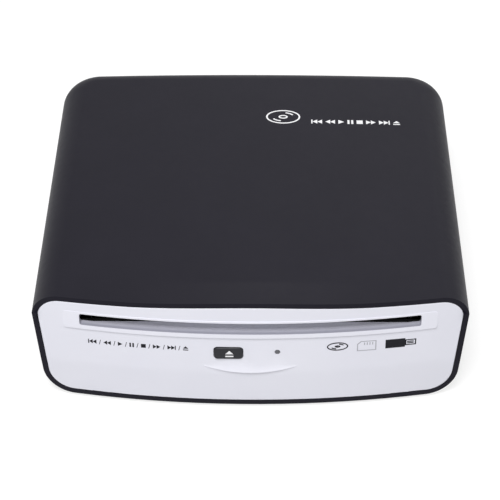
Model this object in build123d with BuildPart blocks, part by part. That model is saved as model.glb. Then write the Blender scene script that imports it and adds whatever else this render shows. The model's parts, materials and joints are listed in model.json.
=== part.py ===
from build123d import *
from math import acos, atan2, cos, degrees, hypot, pi, radians, sin, sqrt, tan
import os

os.makedirs("parts", exist_ok=True)

# Slot-loading disc player for a car, in millimetres.
# +Z is up, the front faces -Y, and the origin lies on the ground under the middle of the case.

# Case
case_width = 172.0
case_depth = 174.0
front_bulge = 9.5
foot_height = 1.5
foot_radius = 7.0
foot_recess = 0.5
foot_gap = 0.12
foot_inset_x = 26.0
foot_inset_y = 22.0
seam_height = 40.2
roof_height = 51.35
roof_crown = 1.5
wall = 2.2
corner_radius = 17.0
shoulder_radius = 11.9
shoulder_kick = 2.0
side_draft = 5.3
bottom_radius = 12.5
lip_height = 1.3
lip_thickness = 0.9
lip_gap = 0.12
lip_setback = 0.15
overrun = 6.0

# Brow, the raised part of the roof over the front
brow_rise = 1.45
brow_half_width = 54.0
brow_length = 16.7
brow_riser_length = 3.5
brow_riser_share = 0.42
brow_sink = 0.06

# Front panel
panel_gap = 0.12
panel_thickness = 2.6
panel_edge_radius = 0.4
chin_height = 17.5
chin_lean = 3.0
chin_blend = 60.0
band_half_length = 73.4
band_bottom = 35.7
band_top = 43.7
band_rise_middle = 0.6
band_rise_ends = 0.5
band_top_setback = 0.4
band_corner = 1.2
slot_length = 133.9
slot_bottom = 37.675
slot_gap = 5.2
slot_corner = 0.8
slot_duct_wall = 1.2
felt_tall = 3.0
felt_thickness = 0.8
felt_gap = 0.05
slot_duct_setback = 0.92
lip_half_length = 18.1
lip_top = 21.7
lip_tip_drop = 0.8
lip_drop = 3.5
lip_proud = 0.85
panel_tab_width = 12.0
panel_tab_length = 7.0
panel_tab_thickness = 1.4
panel_tab_gap = 0.3

# Eject button, indicator and front board
button_x = -8.55
button_height = 27.8
button_width = 11.3
button_tall = 5.6
button_corner = 1.4
button_gap = 0.25
button_proud = 0.5
button_edge_radius = 0.35
button_travel = 0.5
button_flange = 1.0
button_flange_thickness = 1.0
lens_x = 10.7
lens_height = 28.3
lens_radius = 1.05
lens_gap = 0.08
lens_flange = 0.8
lens_flange_thickness = 0.55
lamp_radius = 1.45
lamp_tip_radius = 1.15
front_board_width = 60.0
front_board_gap = 0.33
front_board_rise = 0.5
front_board_tall = 13.0
board_thickness = 1.6
switch_size = 6.0
switch_depth = 3.4
plunger_radius = 1.7
plunger_fit = 0.05
plunger_reach = 0.8
front_boss_radius = 2.3
front_boss_x = 25.0

# Screws
thread_fit = 0.06
screw_clearance = 0.3
case_screw_radius = 1.25
case_screw_head_radius = 2.6
case_screw_head_height = 1.8
case_screw_length = 14.0
small_screw_radius = 0.95
small_screw_head_radius = 1.9
small_screw_head_height = 1.1
small_screw_length = 4.0

# Posts for the case screws
post_inset = 14.5
post_front_inset = 18.0
post_back_inset = 19.0
post_radius = 4.0
post_join_height = 24.0
post_gap = 0.1
screw_seat_height = 12.0

# Main board
board_height = 8.3
board_side_gap = 23.0
board_front_gap = 25.0
board_back_gap = 12.0
boss_radius = 3.5
board_screw_inset = 5.0
board_screw_front_inset = 7.0
board_screw_back_inset = 17.0
processor_x = -20.0
processor_setback = 62.0
processor_size = 22.0
memory_x = 10.0
memory_setback = 68.0
memory_pitch = 14.0
memory_count = 2
memory_width = 10.0
memory_length = 18.0
driver_inset = 19.0
driver_setback = 82.0
driver_width = 9.0
driver_length = 6.0
chip_tall = 1.5
capacitor_side_inset = 17.0
capacitor_back_inset = 25.0
capacitor_pitch = 9.0
capacitor_count = 3
capacitor_radius = 3.15
capacitor_tall = 4.6

# Loader chassis
sheet = 1.0
chassis_side_gap = 21.5
chassis_front_gap = 17.0
chassis_back_gap = 22.0
chassis_lift = 5.4
disc_thickness = 1.2
plate_clearance = 2.7
plate_tab_length = 4.75
ear_length = 9.5
ear_width = 11.0
ear_front_inset = 14.0
ear_back_inset = 31.0
window_half_width = 20.0
window_front_inset = 52.0
window_back_inset = 15.0
fit = 0.05
side_play = 0.4

# Roller and its bracket
roller_setback = 7.0
roller_inner_radius = 2.7
roller_outer_radius = 3.3
roller_start = 3.0
roller_end_gap = 5.0
guide_front_reach = 5.5
guide_back_reach = 4.5
guide_land = 2.0
shaft_radius = 1.0
arm_gap = 4.5
pivot_setback = 36.0
pivot_z = 32.5
bracket_swing = 9.0
bracket_arm_half = 3.2
bracket_web_start = 5.0
bracket_web_end = 14.0
pulley_radius = 3.0
pulley_width = 2.2
belt_radius = 0.5
belt_gap = 0.1

# Gears
gear_module = 0.4
pressure_angle = 20.0
backlash = 0.12
addendum = 0.9
dedendum = 1.25
flank_points = 4
gear_width = 1.8
gear_layer_gap = 0.4
pivot_gear_teeth = 36
idler_large_teeth = 36
idler_small_teeth = 12
pinion_teeth = 10
idler_angle = -60.0
motor_z = 27.4
motor_radius = 7.0
motor_length = 20.0
motor_shaft_radius = 0.75
motor_edge_radius = 1.0
motor_cap_radius = 2.45
motor_cap_height = 1.0
motor_mouth_depth = 2.0
pin_head_radius = 1.6
pin_head_height = 0.6

# Shift slide, which lowers the roller and the clamp together
slide_travel = 8.0
slide_thickness = 1.2
slide_gap = 0.7
slide_below = 6.0
slide_above = 3.0
slide_end = 5.0
slide_corner = 1.5
slide_pin_radius = 0.9
slide_pin_gap = 0.25
follower_setback = 22.0
follower_height = 34.6
guide_pin_radius = 1.2
guide_pin_rise = 4.0
guide_head_radius = 2.3
guide_head_gap = 0.15
guide_front_setback = 50.0
guide_back_setback = 82.0

# Clamp
clamp_hinge_inset = 15.0
clamp_swing = 4.6
clamp_half_width = 12.5
clamp_lift = 1.4
clamp_window_side = 3.0
clamp_window_front = 5.5
clamp_window_back = 8.0
clamp_link_reach = 10.0
clamp_link_width = 6.0
clamp_tab_reach = 2.0
link_drop = 2.0
hinge_ear_rise = 1.4
hinge_ear_length = 5.0
arm_ear_length = 3.0
puck_radius = 11.0
puck_stem_radius = 3.5
puck_play = 0.3
puck_lift = 0.1
puck_recess_radius = 8.6
puck_recess_depth = 1.4
puck_cap_radius = 5.5
puck_cap_height = 0.7

# Traverse: spindle, pickup and their frame
spindle_setback = 62.0
turntable_radius = 14.0
hub_radius = 7.3
hub_height = 2.0
hub_chamfer = 1.0
platter_thickness = 2.0
pad_thickness = 0.6
pad_inner_radius = 8.5
disc_drop = 2.6
frame_lift = 3.5
frame_thickness = 3.0
frame_left = -31.0
frame_right = 34.0
frame_front_setback = 39.0
frame_back_inset = 2.0
frame_corner = 2.0
frame_web = 4.0
wing_length = 17.0
wing_front = 14.0
wing_back = 18.0
sled_window_half = 16.0
spindle_motor_radius = 12.0
spindle_motor_height = 5.5
spindle_shaft_radius = 0.75
spindle_cap_radius = 3.0
rod_radius = 1.5
rod_left_x = -22.0
rod_right_x = 22.0
rod_lift = 2.7
rod_front_setback = 66.0
rod_block = 3.0
damper_radius = 4.0
damper_neck = 2.4
damper_flange = 1.2
damper_inset_x = 5.0
damper_inset_y = 5.5
sled_front_setback = 76.0
sled_length = 19.0
sled_travel = 34.0
sled_tall = 5.8
sled_lift = 0.4
sled_shoulder = 4.0
right_lug_reach = 3.5
rack_pitch_x = -28.6
rack_thickness = 1.8
rack_back = 1.6
rack_spare = 3.0
rack_overlap = 0.2
sled_gear_teeth = 40
sled_pinion_teeth = 12
sled_gear_setback = 94.0
sled_motor_angle = 199.0
sled_motor_radius = 6.0
sled_motor_gap = 1.0
lens_holder_size = 12.0
lens_holder_inset = 2.0
lens_holder_corner = 1.5
lens_holder_gap = 0.6
lens_holder_tall = 2.4
lens_seat_height = 0.8
objective_radius = 2.2
objective_edge = 1.2

# Sockets at the back
jack_x = 38.0
jack_width = 9.0
jack_length = 13.5
jack_tall = 11.0
jack_nose_radius = 4.6
jack_bore_radius = 2.75
jack_bore_depth = 9.5
jack_pin_radius = 1.0
jack_pin_setback = 0.6
usb_x = 12.0
usb_width = 13.2
usb_tall = 5.8
usb_length = 14.0
usb_wall = 0.4
usb_depth = 11.0
usb_tongue = 1.9
usb_tongue_side = 0.6
usb_tongue_setback = 1.0
av_x = -12.0
av_width = 8.0
av_tall = 8.0
av_length = 13.0
av_nose_radius = 3.2
av_bore_radius = 1.8
av_bore_depth = 12.0
socket_gap = 0.3
socket_shoulder = 1.0
nose_reach = 1.54

# Vents
vent_width = 2.0
vent_length = 24.0
vent_pitch = 5.0
vent_count = 9
vent_row_y = 18.0
back_vent_x = -48.0
back_vent_count = 7
back_vent_height = 12.0

# Flat cable
cable_width = 14.0
cable_thickness = 0.3
cable_gap = 0.4
cable_grip = 3.0
cable_lift = 1.6
cable_bend = 1.0
cable_plug_length = 4.0
cable_plug_side = 1.5

# Worked-out heights and places
shell_z = foot_height
seam_z = shell_z + seam_height
roof_z = shell_z + roof_height
floor_z = shell_z + wall
front_y = -case_depth / 2
back_y = case_depth / 2
half_width = case_width / 2
drum_radius = (half_width**2 + front_bulge**2) / (2 * front_bulge)
drum_y = front_y + drum_radius
crown_radius = (half_width**2 + roof_crown**2) / (2 * roof_crown)
shoulder_flare = shoulder_radius - sqrt(shoulder_radius**2 - shoulder_kick**2)
chin_z = shell_z + chin_height
slot_z = shell_z + slot_bottom
disc_z = slot_z + slot_gap / 2
disc_under_z = disc_z - disc_thickness / 2
board_z = floor_z + board_height
board_top_z = board_z + board_thickness
chassis_z = board_top_z + chassis_lift
plate_z = disc_z + plate_clearance
plate_top_z = plate_z + sheet
button_z = shell_z + button_height
lens_z = shell_z + lens_height
front_board_z = button_z + front_board_rise
post_x = half_width - post_inset
post_front_y = front_y + post_front_inset
post_back_y = back_y - post_back_inset
board_width = case_width - 2 * board_side_gap
board_front_y = front_y + board_front_gap
board_back_y = back_y - board_back_gap
board_screw_x = board_width / 2 - board_screw_inset
board_screw_front_y = board_front_y + board_screw_front_inset
board_screw_back_y = board_back_y - board_screw_back_inset
processor_y = board_front_y + processor_setback
memory_y = board_front_y + memory_setback
driver_x = driver_inset - board_width / 2
driver_y = board_front_y + driver_setback
capacitor_x = capacitor_side_inset - board_width / 2
capacitor_y = board_back_y - capacitor_back_inset

# The loader hangs on its chassis, which keeps its gaps to the case
chassis_half_width = half_width - chassis_side_gap
chassis_front_y = front_y + chassis_front_gap
chassis_back_y = back_y - chassis_back_gap
ear_front_y = chassis_front_y + ear_front_inset
ear_back_y = chassis_back_y - ear_back_inset
window_front_y = chassis_front_y + window_front_inset
window_back_y = chassis_back_y - window_back_inset
roller_y = chassis_front_y + roller_setback
arm_x = chassis_half_width - sheet - arm_gap
roller_end = arm_x - roller_end_gap
pivot_y = chassis_front_y + pivot_setback
follower_y = chassis_front_y + follower_setback
guide_front_y = chassis_front_y + guide_front_setback
guide_back_y = chassis_front_y + guide_back_setback
clamp_hinge_y = chassis_back_y - clamp_hinge_inset
clamp_link_y = clamp_hinge_y - clamp_link_reach
spindle_y = chassis_front_y + spindle_setback
frame_front_y = chassis_front_y + frame_front_setback
frame_back_y = chassis_back_y - frame_back_inset
rod_front_y = chassis_front_y + rod_front_setback
sled_front_y = chassis_front_y + sled_front_setback
sled_gear_y = chassis_front_y + sled_gear_setback


def front_at(x, inset=0.0):
    """The front surface's y at a distance x from the middle, set back by inset."""
    radius = drum_radius - inset
    return drum_y - sqrt(radius**2 - x**2)


def around(middle, width):
    """The two limits of a width centred on a middle."""
    return (middle - width / 2, middle + width / 2)


def block(x, y, z, mode=Mode.ADD):
    """Add or cut a block between three pairs of limits."""
    middle = ((x[0] + x[1]) / 2, (y[0] + y[1]) / 2, (z[0] + z[1]) / 2)
    with Locations(middle):
        Box(x[1] - x[0], y[1] - y[0], z[1] - z[0], mode=mode)


def bar(axis, centre, limits, radius, mode=Mode.ADD):
    """Add or cut a round bar along an axis, between two limits on it."""
    turn = {"x": (0, 90, 0), "y": (90, 0, 0), "z": (0, 0, 0)}[axis]
    middle = (limits[0] + limits[1]) / 2
    place = {
        "x": (middle, centre[0], centre[1]),
        "y": (centre[0], middle, centre[1]),
        "z": (centre[0], centre[1], middle),
    }[axis]
    with Locations(place):
        Cylinder(radius, limits[1] - limits[0], rotation=turn, mode=mode)


def screw(axis, centre, seat, point, radius, head_radius, head_height):
    """Add a round-headed screw whose head sits on seat and whose shank ends at point."""
    away = -1 if point > seat else 1
    bar(axis, centre, sorted((seat, seat + away * head_height)), head_radius)
    bar(axis, centre, sorted((seat, point)), radius)


def small_screw(axis, centre, seat, point):
    """Add one of the small screws that hold the boards, the chassis and the traverse."""
    screw(axis, centre, seat, point, small_screw_radius, small_screw_head_radius, small_screw_head_height)


def finish(part, name):
    """Label a finished piece and write it."""
    part.label = name
    export_step(part, f"parts/{name}.step")


# The felt hangs behind the panel and its slot duct, and the front board just behind the felt
slot_far_x = slot_length / 2
felt_y = front_at(slot_far_x, panel_thickness) + felt_gap
slot_back_y = felt_y - slot_duct_setback
slot_depth = slot_back_y - front_y
front_board_y = felt_y + felt_thickness + front_board_gap

# The case's outer form, and the same form set in by a wall


def half_width_at_seam(inset):
    """Half the width at the seam of the form set in by inset, where the shoulder's arc crosses it."""
    radius = shoulder_radius - inset
    arc_x = half_width + shoulder_flare - inset - radius
    arc_z = roof_z - inset - crown_radius + sqrt((crown_radius - radius) ** 2 - arc_x**2)
    return arc_x + sqrt(radius**2 - (seam_z - arc_z) ** 2)


def plan_outline(half, back, radius):
    """The case's plan, open-ended past the front."""
    with BuildSketch(mode=Mode.PRIVATE) as outline:
        with BuildLine():
            start = front_y - overrun
            FilletPolyline((-half, start), (-half, back), (half, back), (half, start), radius=radius)
            Line((half, start), (-half, start))
        make_face()
    return outline.sketch


def upper_form(inset):
    """The roof and its shoulders, down to just under the seam."""
    grow = shoulder_flare - inset
    with BuildPart() as form:
        with BuildSketch(Plane.XY.offset(seam_z - shoulder_kick)):
            add(plan_outline(half_width + grow, back_y + grow, corner_radius + grow))
        extrude(amount=roof_height)
        with BuildSketch(Plane.XZ.offset(-back_y - overrun)):
            with Locations((0, roof_z - inset - crown_radius)):
                Circle(crown_radius)
        extrude(amount=case_depth + 3 * overrun, mode=Mode.INTERSECT)
        roof = form.faces().sort_by(Axis.Z)[-1]
        rim = [e for e in roof.edges() if e.center().Y > front_y - overrun + 1]
        fillet(rim, shoulder_radius - inset)
    return form.part


def lower_form(inset):
    """The drafted sides and rounded bottom, up to the seam."""
    half = half_width_at_seam(inset)
    grow = half - half_width
    with BuildPart() as form:
        with BuildSketch(Plane.XY.offset(seam_z)):
            add(plan_outline(half, back_y + grow, corner_radius + grow))
        extrude(amount=seam_height - inset, dir=(0, 0, -1), taper=side_draft)
        bottom = form.faces().sort_by(Axis.Z)[0]
        rim = [e for e in bottom.edges() if e.center().Y > front_y + 1]
        fillet(rim, bottom_radius - inset)
    return form.part


def brow_section(y, share, inset):
    """A slice of the brow: the roof's arc with a bell on it, closed underneath."""
    base = roof_z - inset - brow_sink
    edge = base - roof_crown * (brow_half_width / half_width) ** 2
    slope = 2 * roof_crown * brow_half_width / half_width**2
    low = base - shoulder_radius / 2
    with BuildSketch(Plane.XZ.offset(-y), mode=Mode.PRIVATE) as section:
        with BuildLine():
            Spline(
                (-brow_half_width, edge),
                (0, base + share * brow_rise),
                (brow_half_width, edge),
                tangents=[(1, slope), (1, -slope)],
            )
            Polyline(
                (brow_half_width, edge),
                (brow_half_width, low),
                (-brow_half_width, low),
                (-brow_half_width, edge),
            )
        make_face()
    return section.sketch


def brow_form(inset):
    """The brow: it steps up behind, then climbs gently to the front."""
    start = front_y + brow_length
    riser = start - brow_riser_length
    climb = (1 - brow_riser_share) / (brow_length - brow_riser_length)
    foot = brow_section(start, 0, inset)
    step = brow_section(riser, brow_riser_share, inset)
    front = brow_section(front_y - overrun, 1 + climb * overrun, inset)
    with BuildPart() as form:
        loft([foot.face(), step.face()], ruled=True)
        loft([step.face(), front.face()], ruled=True)
    return form.part


def front_drum(inset=0.0):
    """Everything behind the bulged front: upright above the chin, leaning back below it."""
    face = front_y + inset
    lean = tan(radians(chin_lean)) * (chin_z + overrun)
    with BuildPart() as drum:
        with BuildSketch(Plane.YZ) as side:
            with BuildLine():
                Polyline(
                    (drum_y, -overrun),
                    (face + lean, -overrun),
                    (face, chin_z),
                    (face, roof_z + 2 * overrun),
                    (drum_y, roof_z + 2 * overrun),
                    close=True,
                )
            make_face()
            chin = side.vertices().group_by(Axis.X)[0].sort_by(Axis.Y)[0]
            fillet(chin, chin_blend)
        revolve(axis=Axis((0, drum_y, 0), (0, 0, 1)))
    return drum.part


# Case shells


def whole_form(inset, face=0.0):
    """The closed form of the case, set in by inset, its front set back by face."""
    with BuildPart() as form:
        add(upper_form(inset))
        add(brow_form(inset))
        split(bisect_by=Plane.XY.offset(seam_z), keep=Keep.TOP)
        add(lower_form(inset))
        add(front_drum(face), mode=Mode.INTERSECT)
    return form.part


def rounded_front(form, radius):
    """The form with the edges round its front face softened."""
    with BuildPart() as soft:
        add(form)
        front = [e for e in soft.edges() if e.center().Y < front_y + front_bulge + 1]
        near = [e for e in front if abs(front_at(e.center().X) - e.center().Y) < chin_lean / 2]
        rim = [e for e in near if e.length < 0.9 * case_width]
        fillet(rim, radius)
    return soft.part


def corners(x, front, back):
    """Four places, at x to either side and at two depths."""
    return [(side * x, y) for side in (-1, 1) for y in (front, back)]


post_places = corners(post_x, post_front_y, post_back_y)
ear_places = corners(chassis_half_width + ear_length / 2, ear_front_y, ear_back_y)
board_places = corners(board_screw_x, board_screw_front_y, board_screw_back_y)
foot_places = corners(half_width - foot_inset_x, foot_inset_y - back_y, back_y - foot_inset_y)
post_join_z = shell_z + post_join_height
screw_seat_z = shell_z + screw_seat_height

with BuildPart() as lip_groove:
    add(upper_form(wall - lip_thickness - lip_gap))
    split(bisect_by=Plane.XY.offset(seam_z + lip_height + lip_gap), keep=Keep.BOTTOM)
    split(bisect_by=Plane.XZ.offset(-slot_back_y), keep=Keep.BOTTOM)

with BuildPart() as lip_tongue:
    add(upper_form(wall - lip_thickness))
    add(upper_form(wall - lip_setback), mode=Mode.SUBTRACT)
    split(bisect_by=Plane.XY.offset(seam_z + lip_height), keep=Keep.BOTTOM)
    split(bisect_by=Plane.XZ.offset(-slot_back_y - lip_gap), keep=Keep.BOTTOM)

with BuildPart() as top_cover:
    add(upper_form(0))
    add(brow_form(0))
    add(front_drum(), mode=Mode.INTERSECT)
    add(upper_form(wall), mode=Mode.SUBTRACT)
    add(brow_form(wall), mode=Mode.SUBTRACT)
    split(bisect_by=Plane.XY.offset(seam_z), keep=Keep.TOP)
    add(lip_groove.part, mode=Mode.SUBTRACT)
    for x, y in post_places:
        bar("z", (x, y), (post_join_z + post_gap, roof_z - wall), post_radius)
        top = post_join_z + case_screw_length
        bar("z", (x, y), (post_join_z, top), case_screw_radius + thread_fit, Mode.SUBTRACT)
finish(top_cover.part, "top_cover")

with BuildPart() as bottom_shell:
    add(lower_form(0))
    add(front_drum(), mode=Mode.INTERSECT)
    add(lower_form(wall), mode=Mode.SUBTRACT)
    add(lip_tongue.part)
    for x, y in post_places:
        bar("z", (x, y), (shell_z + wall / 2, post_join_z), post_radius)
        bar("z", (x, y), (0, screw_seat_z), case_screw_head_radius + screw_clearance, Mode.SUBTRACT)
        bar("z", (x, y), (0, seam_z), case_screw_radius + screw_clearance, Mode.SUBTRACT)
    for places, top in ((board_places, board_z), (ear_places, chassis_z)):
        for x, y in places:
            bar("z", (x, y), (shell_z + wall / 2, top), boss_radius)
            thread = (top - small_screw_length, top)
            bar("z", (x, y), thread, small_screw_radius + thread_fit, Mode.SUBTRACT)
    for x, y in foot_places:
        bar("z", (x, y), (0, shell_z + foot_recess), foot_radius + foot_gap, Mode.SUBTRACT)
    with BuildSketch(Plane.XY):
        for y in (-vent_row_y, vent_row_y):
            with GridLocations(vent_pitch, 1, vent_count, 1):
                with Locations((0, y)):
                    SlotOverall(vent_length, vent_width, rotation=90)
    extrude(amount=floor_z + wall, mode=Mode.SUBTRACT)
    with BuildSketch(Plane.XZ.offset(-back_y - overrun)):
        with Locations((back_vent_x, board_top_z + back_vent_height)):
            with GridLocations(vent_pitch, 1, back_vent_count, 1):
                SlotOverall(back_vent_height, vent_width, rotation=90)
        with Locations((jack_x, board_top_z + jack_tall / 2)):
            Circle(jack_nose_radius + socket_gap)
        with Locations((usb_x, board_top_z + usb_tall / 2)):
            Rectangle(usb_width + 2 * socket_gap, usb_tall + 2 * socket_gap)
        with Locations((av_x, board_top_z + av_tall / 2)):
            Circle(av_nose_radius + socket_gap)
    extrude(amount=3 * overrun, mode=Mode.SUBTRACT)
finish(bottom_shell.part, "bottom_shell")

with BuildPart() as rubber_feet:
    for x, y in foot_places:
        bar("z", (x, y), (0, shell_z + foot_recess), foot_radius)
    bottom_rims = rubber_feet.edges().group_by(Axis.Z)[0]
    fillet(bottom_rims, foot_height / 3)
finish(rubber_feet.part, "rubber_feet")

with BuildPart() as case_screws:
    for x, y in post_places:
        point = post_join_z + case_screw_length - case_screw_radius
        head = (case_screw_head_radius, case_screw_head_height)
        screw("z", (x, y), screw_seat_z, point, case_screw_radius, *head)
finish(case_screws.part, "case_screws")

# Front panel

band_sagitta = drum_radius - sqrt(drum_radius**2 - band_half_length**2)
band_bulge = band_sagitta + band_rise_middle - band_rise_ends
band_radius = (band_half_length**2 + band_bulge**2) / (2 * band_bulge)
band_z = shell_z + (band_bottom + band_top) / 2
lip_z = shell_z + lip_top
panel_middle = front_drum(panel_thickness / 2)


def smile_face():
    """The raised lip's outline: a straight top, short ends and one arc below."""
    with BuildSketch(Plane.XZ.offset(-front_y - front_bulge), mode=Mode.PRIVATE) as smile:
        with BuildLine():
            Polyline(
                (-lip_half_length, lip_z - lip_tip_drop),
                (-lip_half_length, lip_z),
                (lip_half_length, lip_z),
                (lip_half_length, lip_z - lip_tip_drop),
            )
            ThreePointArc(
                (lip_half_length, lip_z - lip_tip_drop),
                (0, lip_z - lip_drop),
                (-lip_half_length, lip_z - lip_tip_drop),
            )
        make_face()
    return smile.sketch


with BuildPart() as lip_slope:
    with BuildSketch(Plane.YZ):
        with BuildLine():
            Polyline(
                (drum_y, lip_z - 2 * lip_drop),
                (front_y - 2 * lip_proud, lip_z - 2 * lip_drop),
                (front_y, lip_z),
                (drum_y, lip_z),
                close=True,
            )
        make_face()
    revolve(axis=Axis((0, drum_y, 0), (0, 0, 1)))
with BuildPart() as lip_wedge:
    extrude(smile_face(), amount=2 * front_bulge)
    add(lip_slope.part, mode=Mode.INTERSECT)
    add(panel_middle, mode=Mode.SUBTRACT)

with BuildPart() as band:
    with BuildSketch(Plane.XZ.offset(-front_y - front_bulge)):
        with Locations((0, band_z)):
            RectangleRounded(2 * band_half_length, band_top - band_bottom, band_corner)
    extrude(amount=2 * front_bulge)
    with Locations((0, front_y - band_rise_middle + band_radius, band_z)):
        low_radius = band_radius + band_top_setback / 2
        high_radius = low_radius - 2 * band_top_setback
        Cone(low_radius, high_radius, 2 * (band_top - band_bottom), mode=Mode.INTERSECT)
    add(panel_middle, mode=Mode.SUBTRACT)

with BuildPart() as slot_duct:
    with BuildSketch(Plane.XZ.offset(-slot_back_y)):
        with Locations((0, disc_z)):
            duct_length = slot_length + 2 * slot_duct_wall
            duct_gap = slot_gap + 2 * slot_duct_wall
            RectangleRounded(duct_length, duct_gap, slot_corner + slot_duct_wall)
    extrude(amount=slot_depth)
    add(panel_middle, mode=Mode.INTERSECT)

with BuildPart() as panel_plate:
    add(whole_form(wall + panel_gap))
    split(bisect_by=Plane.XZ.offset(-front_y - front_bulge - 2 * panel_thickness), keep=Keep.TOP)
    add(front_drum(panel_thickness), mode=Mode.SUBTRACT)

tab_start = front_at(half_width / 2, panel_thickness / 2)
tab_end = tab_start + panel_thickness / 2 + panel_tab_length
tab_z = floor_z + panel_tab_gap
front_thread = (front_board_y - small_screw_length, front_board_y)
with BuildPart() as front_panel:
    add(rounded_front(panel_plate.part, panel_edge_radius))
    add(band.part)
    add(lip_wedge.part)
    add(slot_duct.part)
    for side in (-1, 1):
        boss = (front_at(front_boss_x, panel_thickness / 2), front_board_y)
        bar("y", (side * front_boss_x, front_board_z), boss, front_boss_radius)
        tab_x = around(side * half_width / 2, panel_tab_width)
        block(tab_x, (tab_start, tab_end), (tab_z, tab_z + panel_tab_thickness))
        thread = small_screw_radius + thread_fit
        bar("y", (side * front_boss_x, front_board_z), front_thread, thread, Mode.SUBTRACT)
    with BuildSketch(Plane.XZ.offset(-front_board_y)):
        with Locations((0, disc_z)):
            RectangleRounded(slot_length, slot_gap, slot_corner)
    extrude(amount=2 * slot_depth, mode=Mode.SUBTRACT)
    with BuildSketch(Plane.XZ.offset(-front_board_y)):
        with Locations((button_x, button_z)):
            hole_width = button_width + 2 * button_gap
            hole_tall = button_tall + 2 * button_gap
            RectangleRounded(hole_width, hole_tall, button_corner + button_gap)
        with Locations((lens_x, lens_z)):
            Circle(lens_radius + lens_gap)
    extrude(amount=2 * slot_depth, mode=Mode.SUBTRACT)
finish(front_panel.part, "front_panel")

button_front_y = front_at(button_x) - button_proud
button_far_x = abs(button_x) + button_width / 2 + button_flange
button_flange_y = front_at(button_far_x, panel_thickness) + button_gap
switch_front_y = front_board_y - switch_depth
plunger_front_y = switch_front_y - plunger_reach
with BuildPart() as eject_button:
    with BuildSketch(Plane.XZ.offset(-button_flange_y)):
        with Locations((button_x, button_z)):
            RectangleRounded(button_width, button_tall, button_corner)
    extrude(amount=button_flange_y - button_front_y)
    front = eject_button.faces().sort_by(Axis.Y)[0]
    fillet(front.edges(), button_edge_radius)
    with BuildSketch(Plane.XZ.offset(-button_flange_y)):
        with Locations((button_x, button_z)):
            flange_width = button_width + 2 * button_flange
            flange_tall = button_tall + 2 * button_flange
            RectangleRounded(flange_width, flange_tall, button_corner)
    extrude(amount=-button_flange_thickness)
    stem = (button_flange_y + button_flange_thickness / 2, plunger_front_y - plunger_fit)
    bar("y", (button_x, button_z), stem, plunger_radius)
finish(eject_button.part, "eject_button")

lens_back = front_at(lens_x, panel_thickness) + lens_gap
lens_end = lens_back + lens_flange_thickness
with BuildPart() as led_lens:
    bar("y", (lens_x, lens_z), (front_at(lens_x) + lens_gap, lens_back), lens_radius)
    bar("y", (lens_x, lens_z), (lens_back, lens_end), lens_radius + lens_flange)
finish(led_lens.part, "led_lens")

with BuildPart() as indicator_lamp:
    bar("y", (lens_x, lens_z), (lens_end + lens_gap, front_board_y), lamp_radius)
    fillet(indicator_lamp.faces().sort_by(Axis.Y)[0].edges(), lamp_tip_radius)
finish(indicator_lamp.part, "indicator_lamp")

front_board_far = front_board_y + board_thickness
with BuildPart() as front_board:
    board_y = (front_board_y, front_board_far)
    block(around(0, front_board_width), board_y, around(front_board_z, front_board_tall))
    for side in (-1, 1):
        hole = small_screw_radius + screw_clearance
        bar("y", (side * front_boss_x, front_board_z), board_y, hole, Mode.SUBTRACT)
finish(front_board.part, "front_board")

with BuildPart() as front_board_screws:
    for side in (-1, 1):
        point = front_thread[0] + small_screw_radius
        small_screw("y", (side * front_boss_x, front_board_z), front_board_far, point)
finish(front_board_screws.part, "front_board_screws")

switch_well_y = front_board_y - switch_depth / 3
with BuildPart() as switch_body:
    switch_y = (switch_front_y, front_board_y)
    block(around(button_x, switch_size), switch_y, around(button_z, switch_size))
    well = (switch_front_y, switch_well_y)
    bar("y", (button_x, button_z), well, plunger_radius + plunger_fit, Mode.SUBTRACT)
finish(switch_body.part, "switch_body")

with BuildPart() as switch_plunger:
    plunger_back = switch_well_y - button_travel - plunger_fit
    bar("y", (button_x, button_z), (plunger_front_y, plunger_back), plunger_radius)
finish(switch_plunger.part, "switch_plunger")

for name, low in (("upper_felt", disc_z + slot_gap / 2), ("lower_felt", disc_z - slot_gap / 2 - felt_tall)):
    with BuildPart() as felt:
        block((-slot_far_x, slot_far_x), (felt_y, felt_y + felt_thickness), (low, low + felt_tall))
    finish(felt.part, name)

# Loader chassis and its top plate

guide_pin_height = follower_height + guide_pin_rise
guide_places = [(guide_front_y, guide_pin_height), (guide_back_y, guide_pin_height)]
wall_out = chassis_half_width
wall_in = chassis_half_width - sheet
floor_top_z = chassis_z + sheet
clamp_arm_z = plate_top_z + clamp_lift
clamp_arm_top_z = clamp_arm_z + sheet
clamp_pin_z = clamp_arm_top_z + shaft_radius + fit
slide_x = wall_out + slide_gap
slide_out = slide_x + slide_thickness


def turned(y, z, centre, angle):
    """A point turned about an axis along X, the angle in degrees."""
    dy = y - centre[0]
    dz = z - centre[1]
    turn = radians(angle)
    return (centre[0] + dy * cos(turn) - dz * sin(turn), centre[1] + dy * sin(turn) + dz * cos(turn))


def slot_between(start, end, radius):
    """A round-ended slot that a pin of the given radius sweeps between two points."""
    middle = ((start[0] + end[0]) / 2, (start[1] + end[1]) / 2)
    run = hypot(end[0] - start[0], end[1] - start[1])
    slope = degrees(atan2(end[1] - start[1], end[0] - start[0]))
    with BuildSketch(mode=Mode.PRIVATE) as way:
        with Locations(middle):
            SlotCenterToCenter(run, 2 * radius, rotation=slope)
    return way.sketch


follower_start = (follower_y, follower_height)
follower_end = turned(*follower_start, (pivot_y, pivot_z), bracket_swing)
link_z = plate_z - link_drop
link_start = (clamp_link_y, link_z)
link_end = turned(*link_start, (clamp_hinge_y, clamp_pin_z), clamp_swing)

idler_reach = gear_module * (pivot_gear_teeth + idler_small_teeth) / 2
idler_y = pivot_y + cos(radians(idler_angle)) * idler_reach
idler_z = pivot_z + sin(radians(idler_angle)) * idler_reach
pinion_reach = gear_module * (idler_large_teeth + pinion_teeth) / 2
motor_y = idler_y + sqrt(pinion_reach**2 - (motor_z - idler_z) ** 2)

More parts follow.
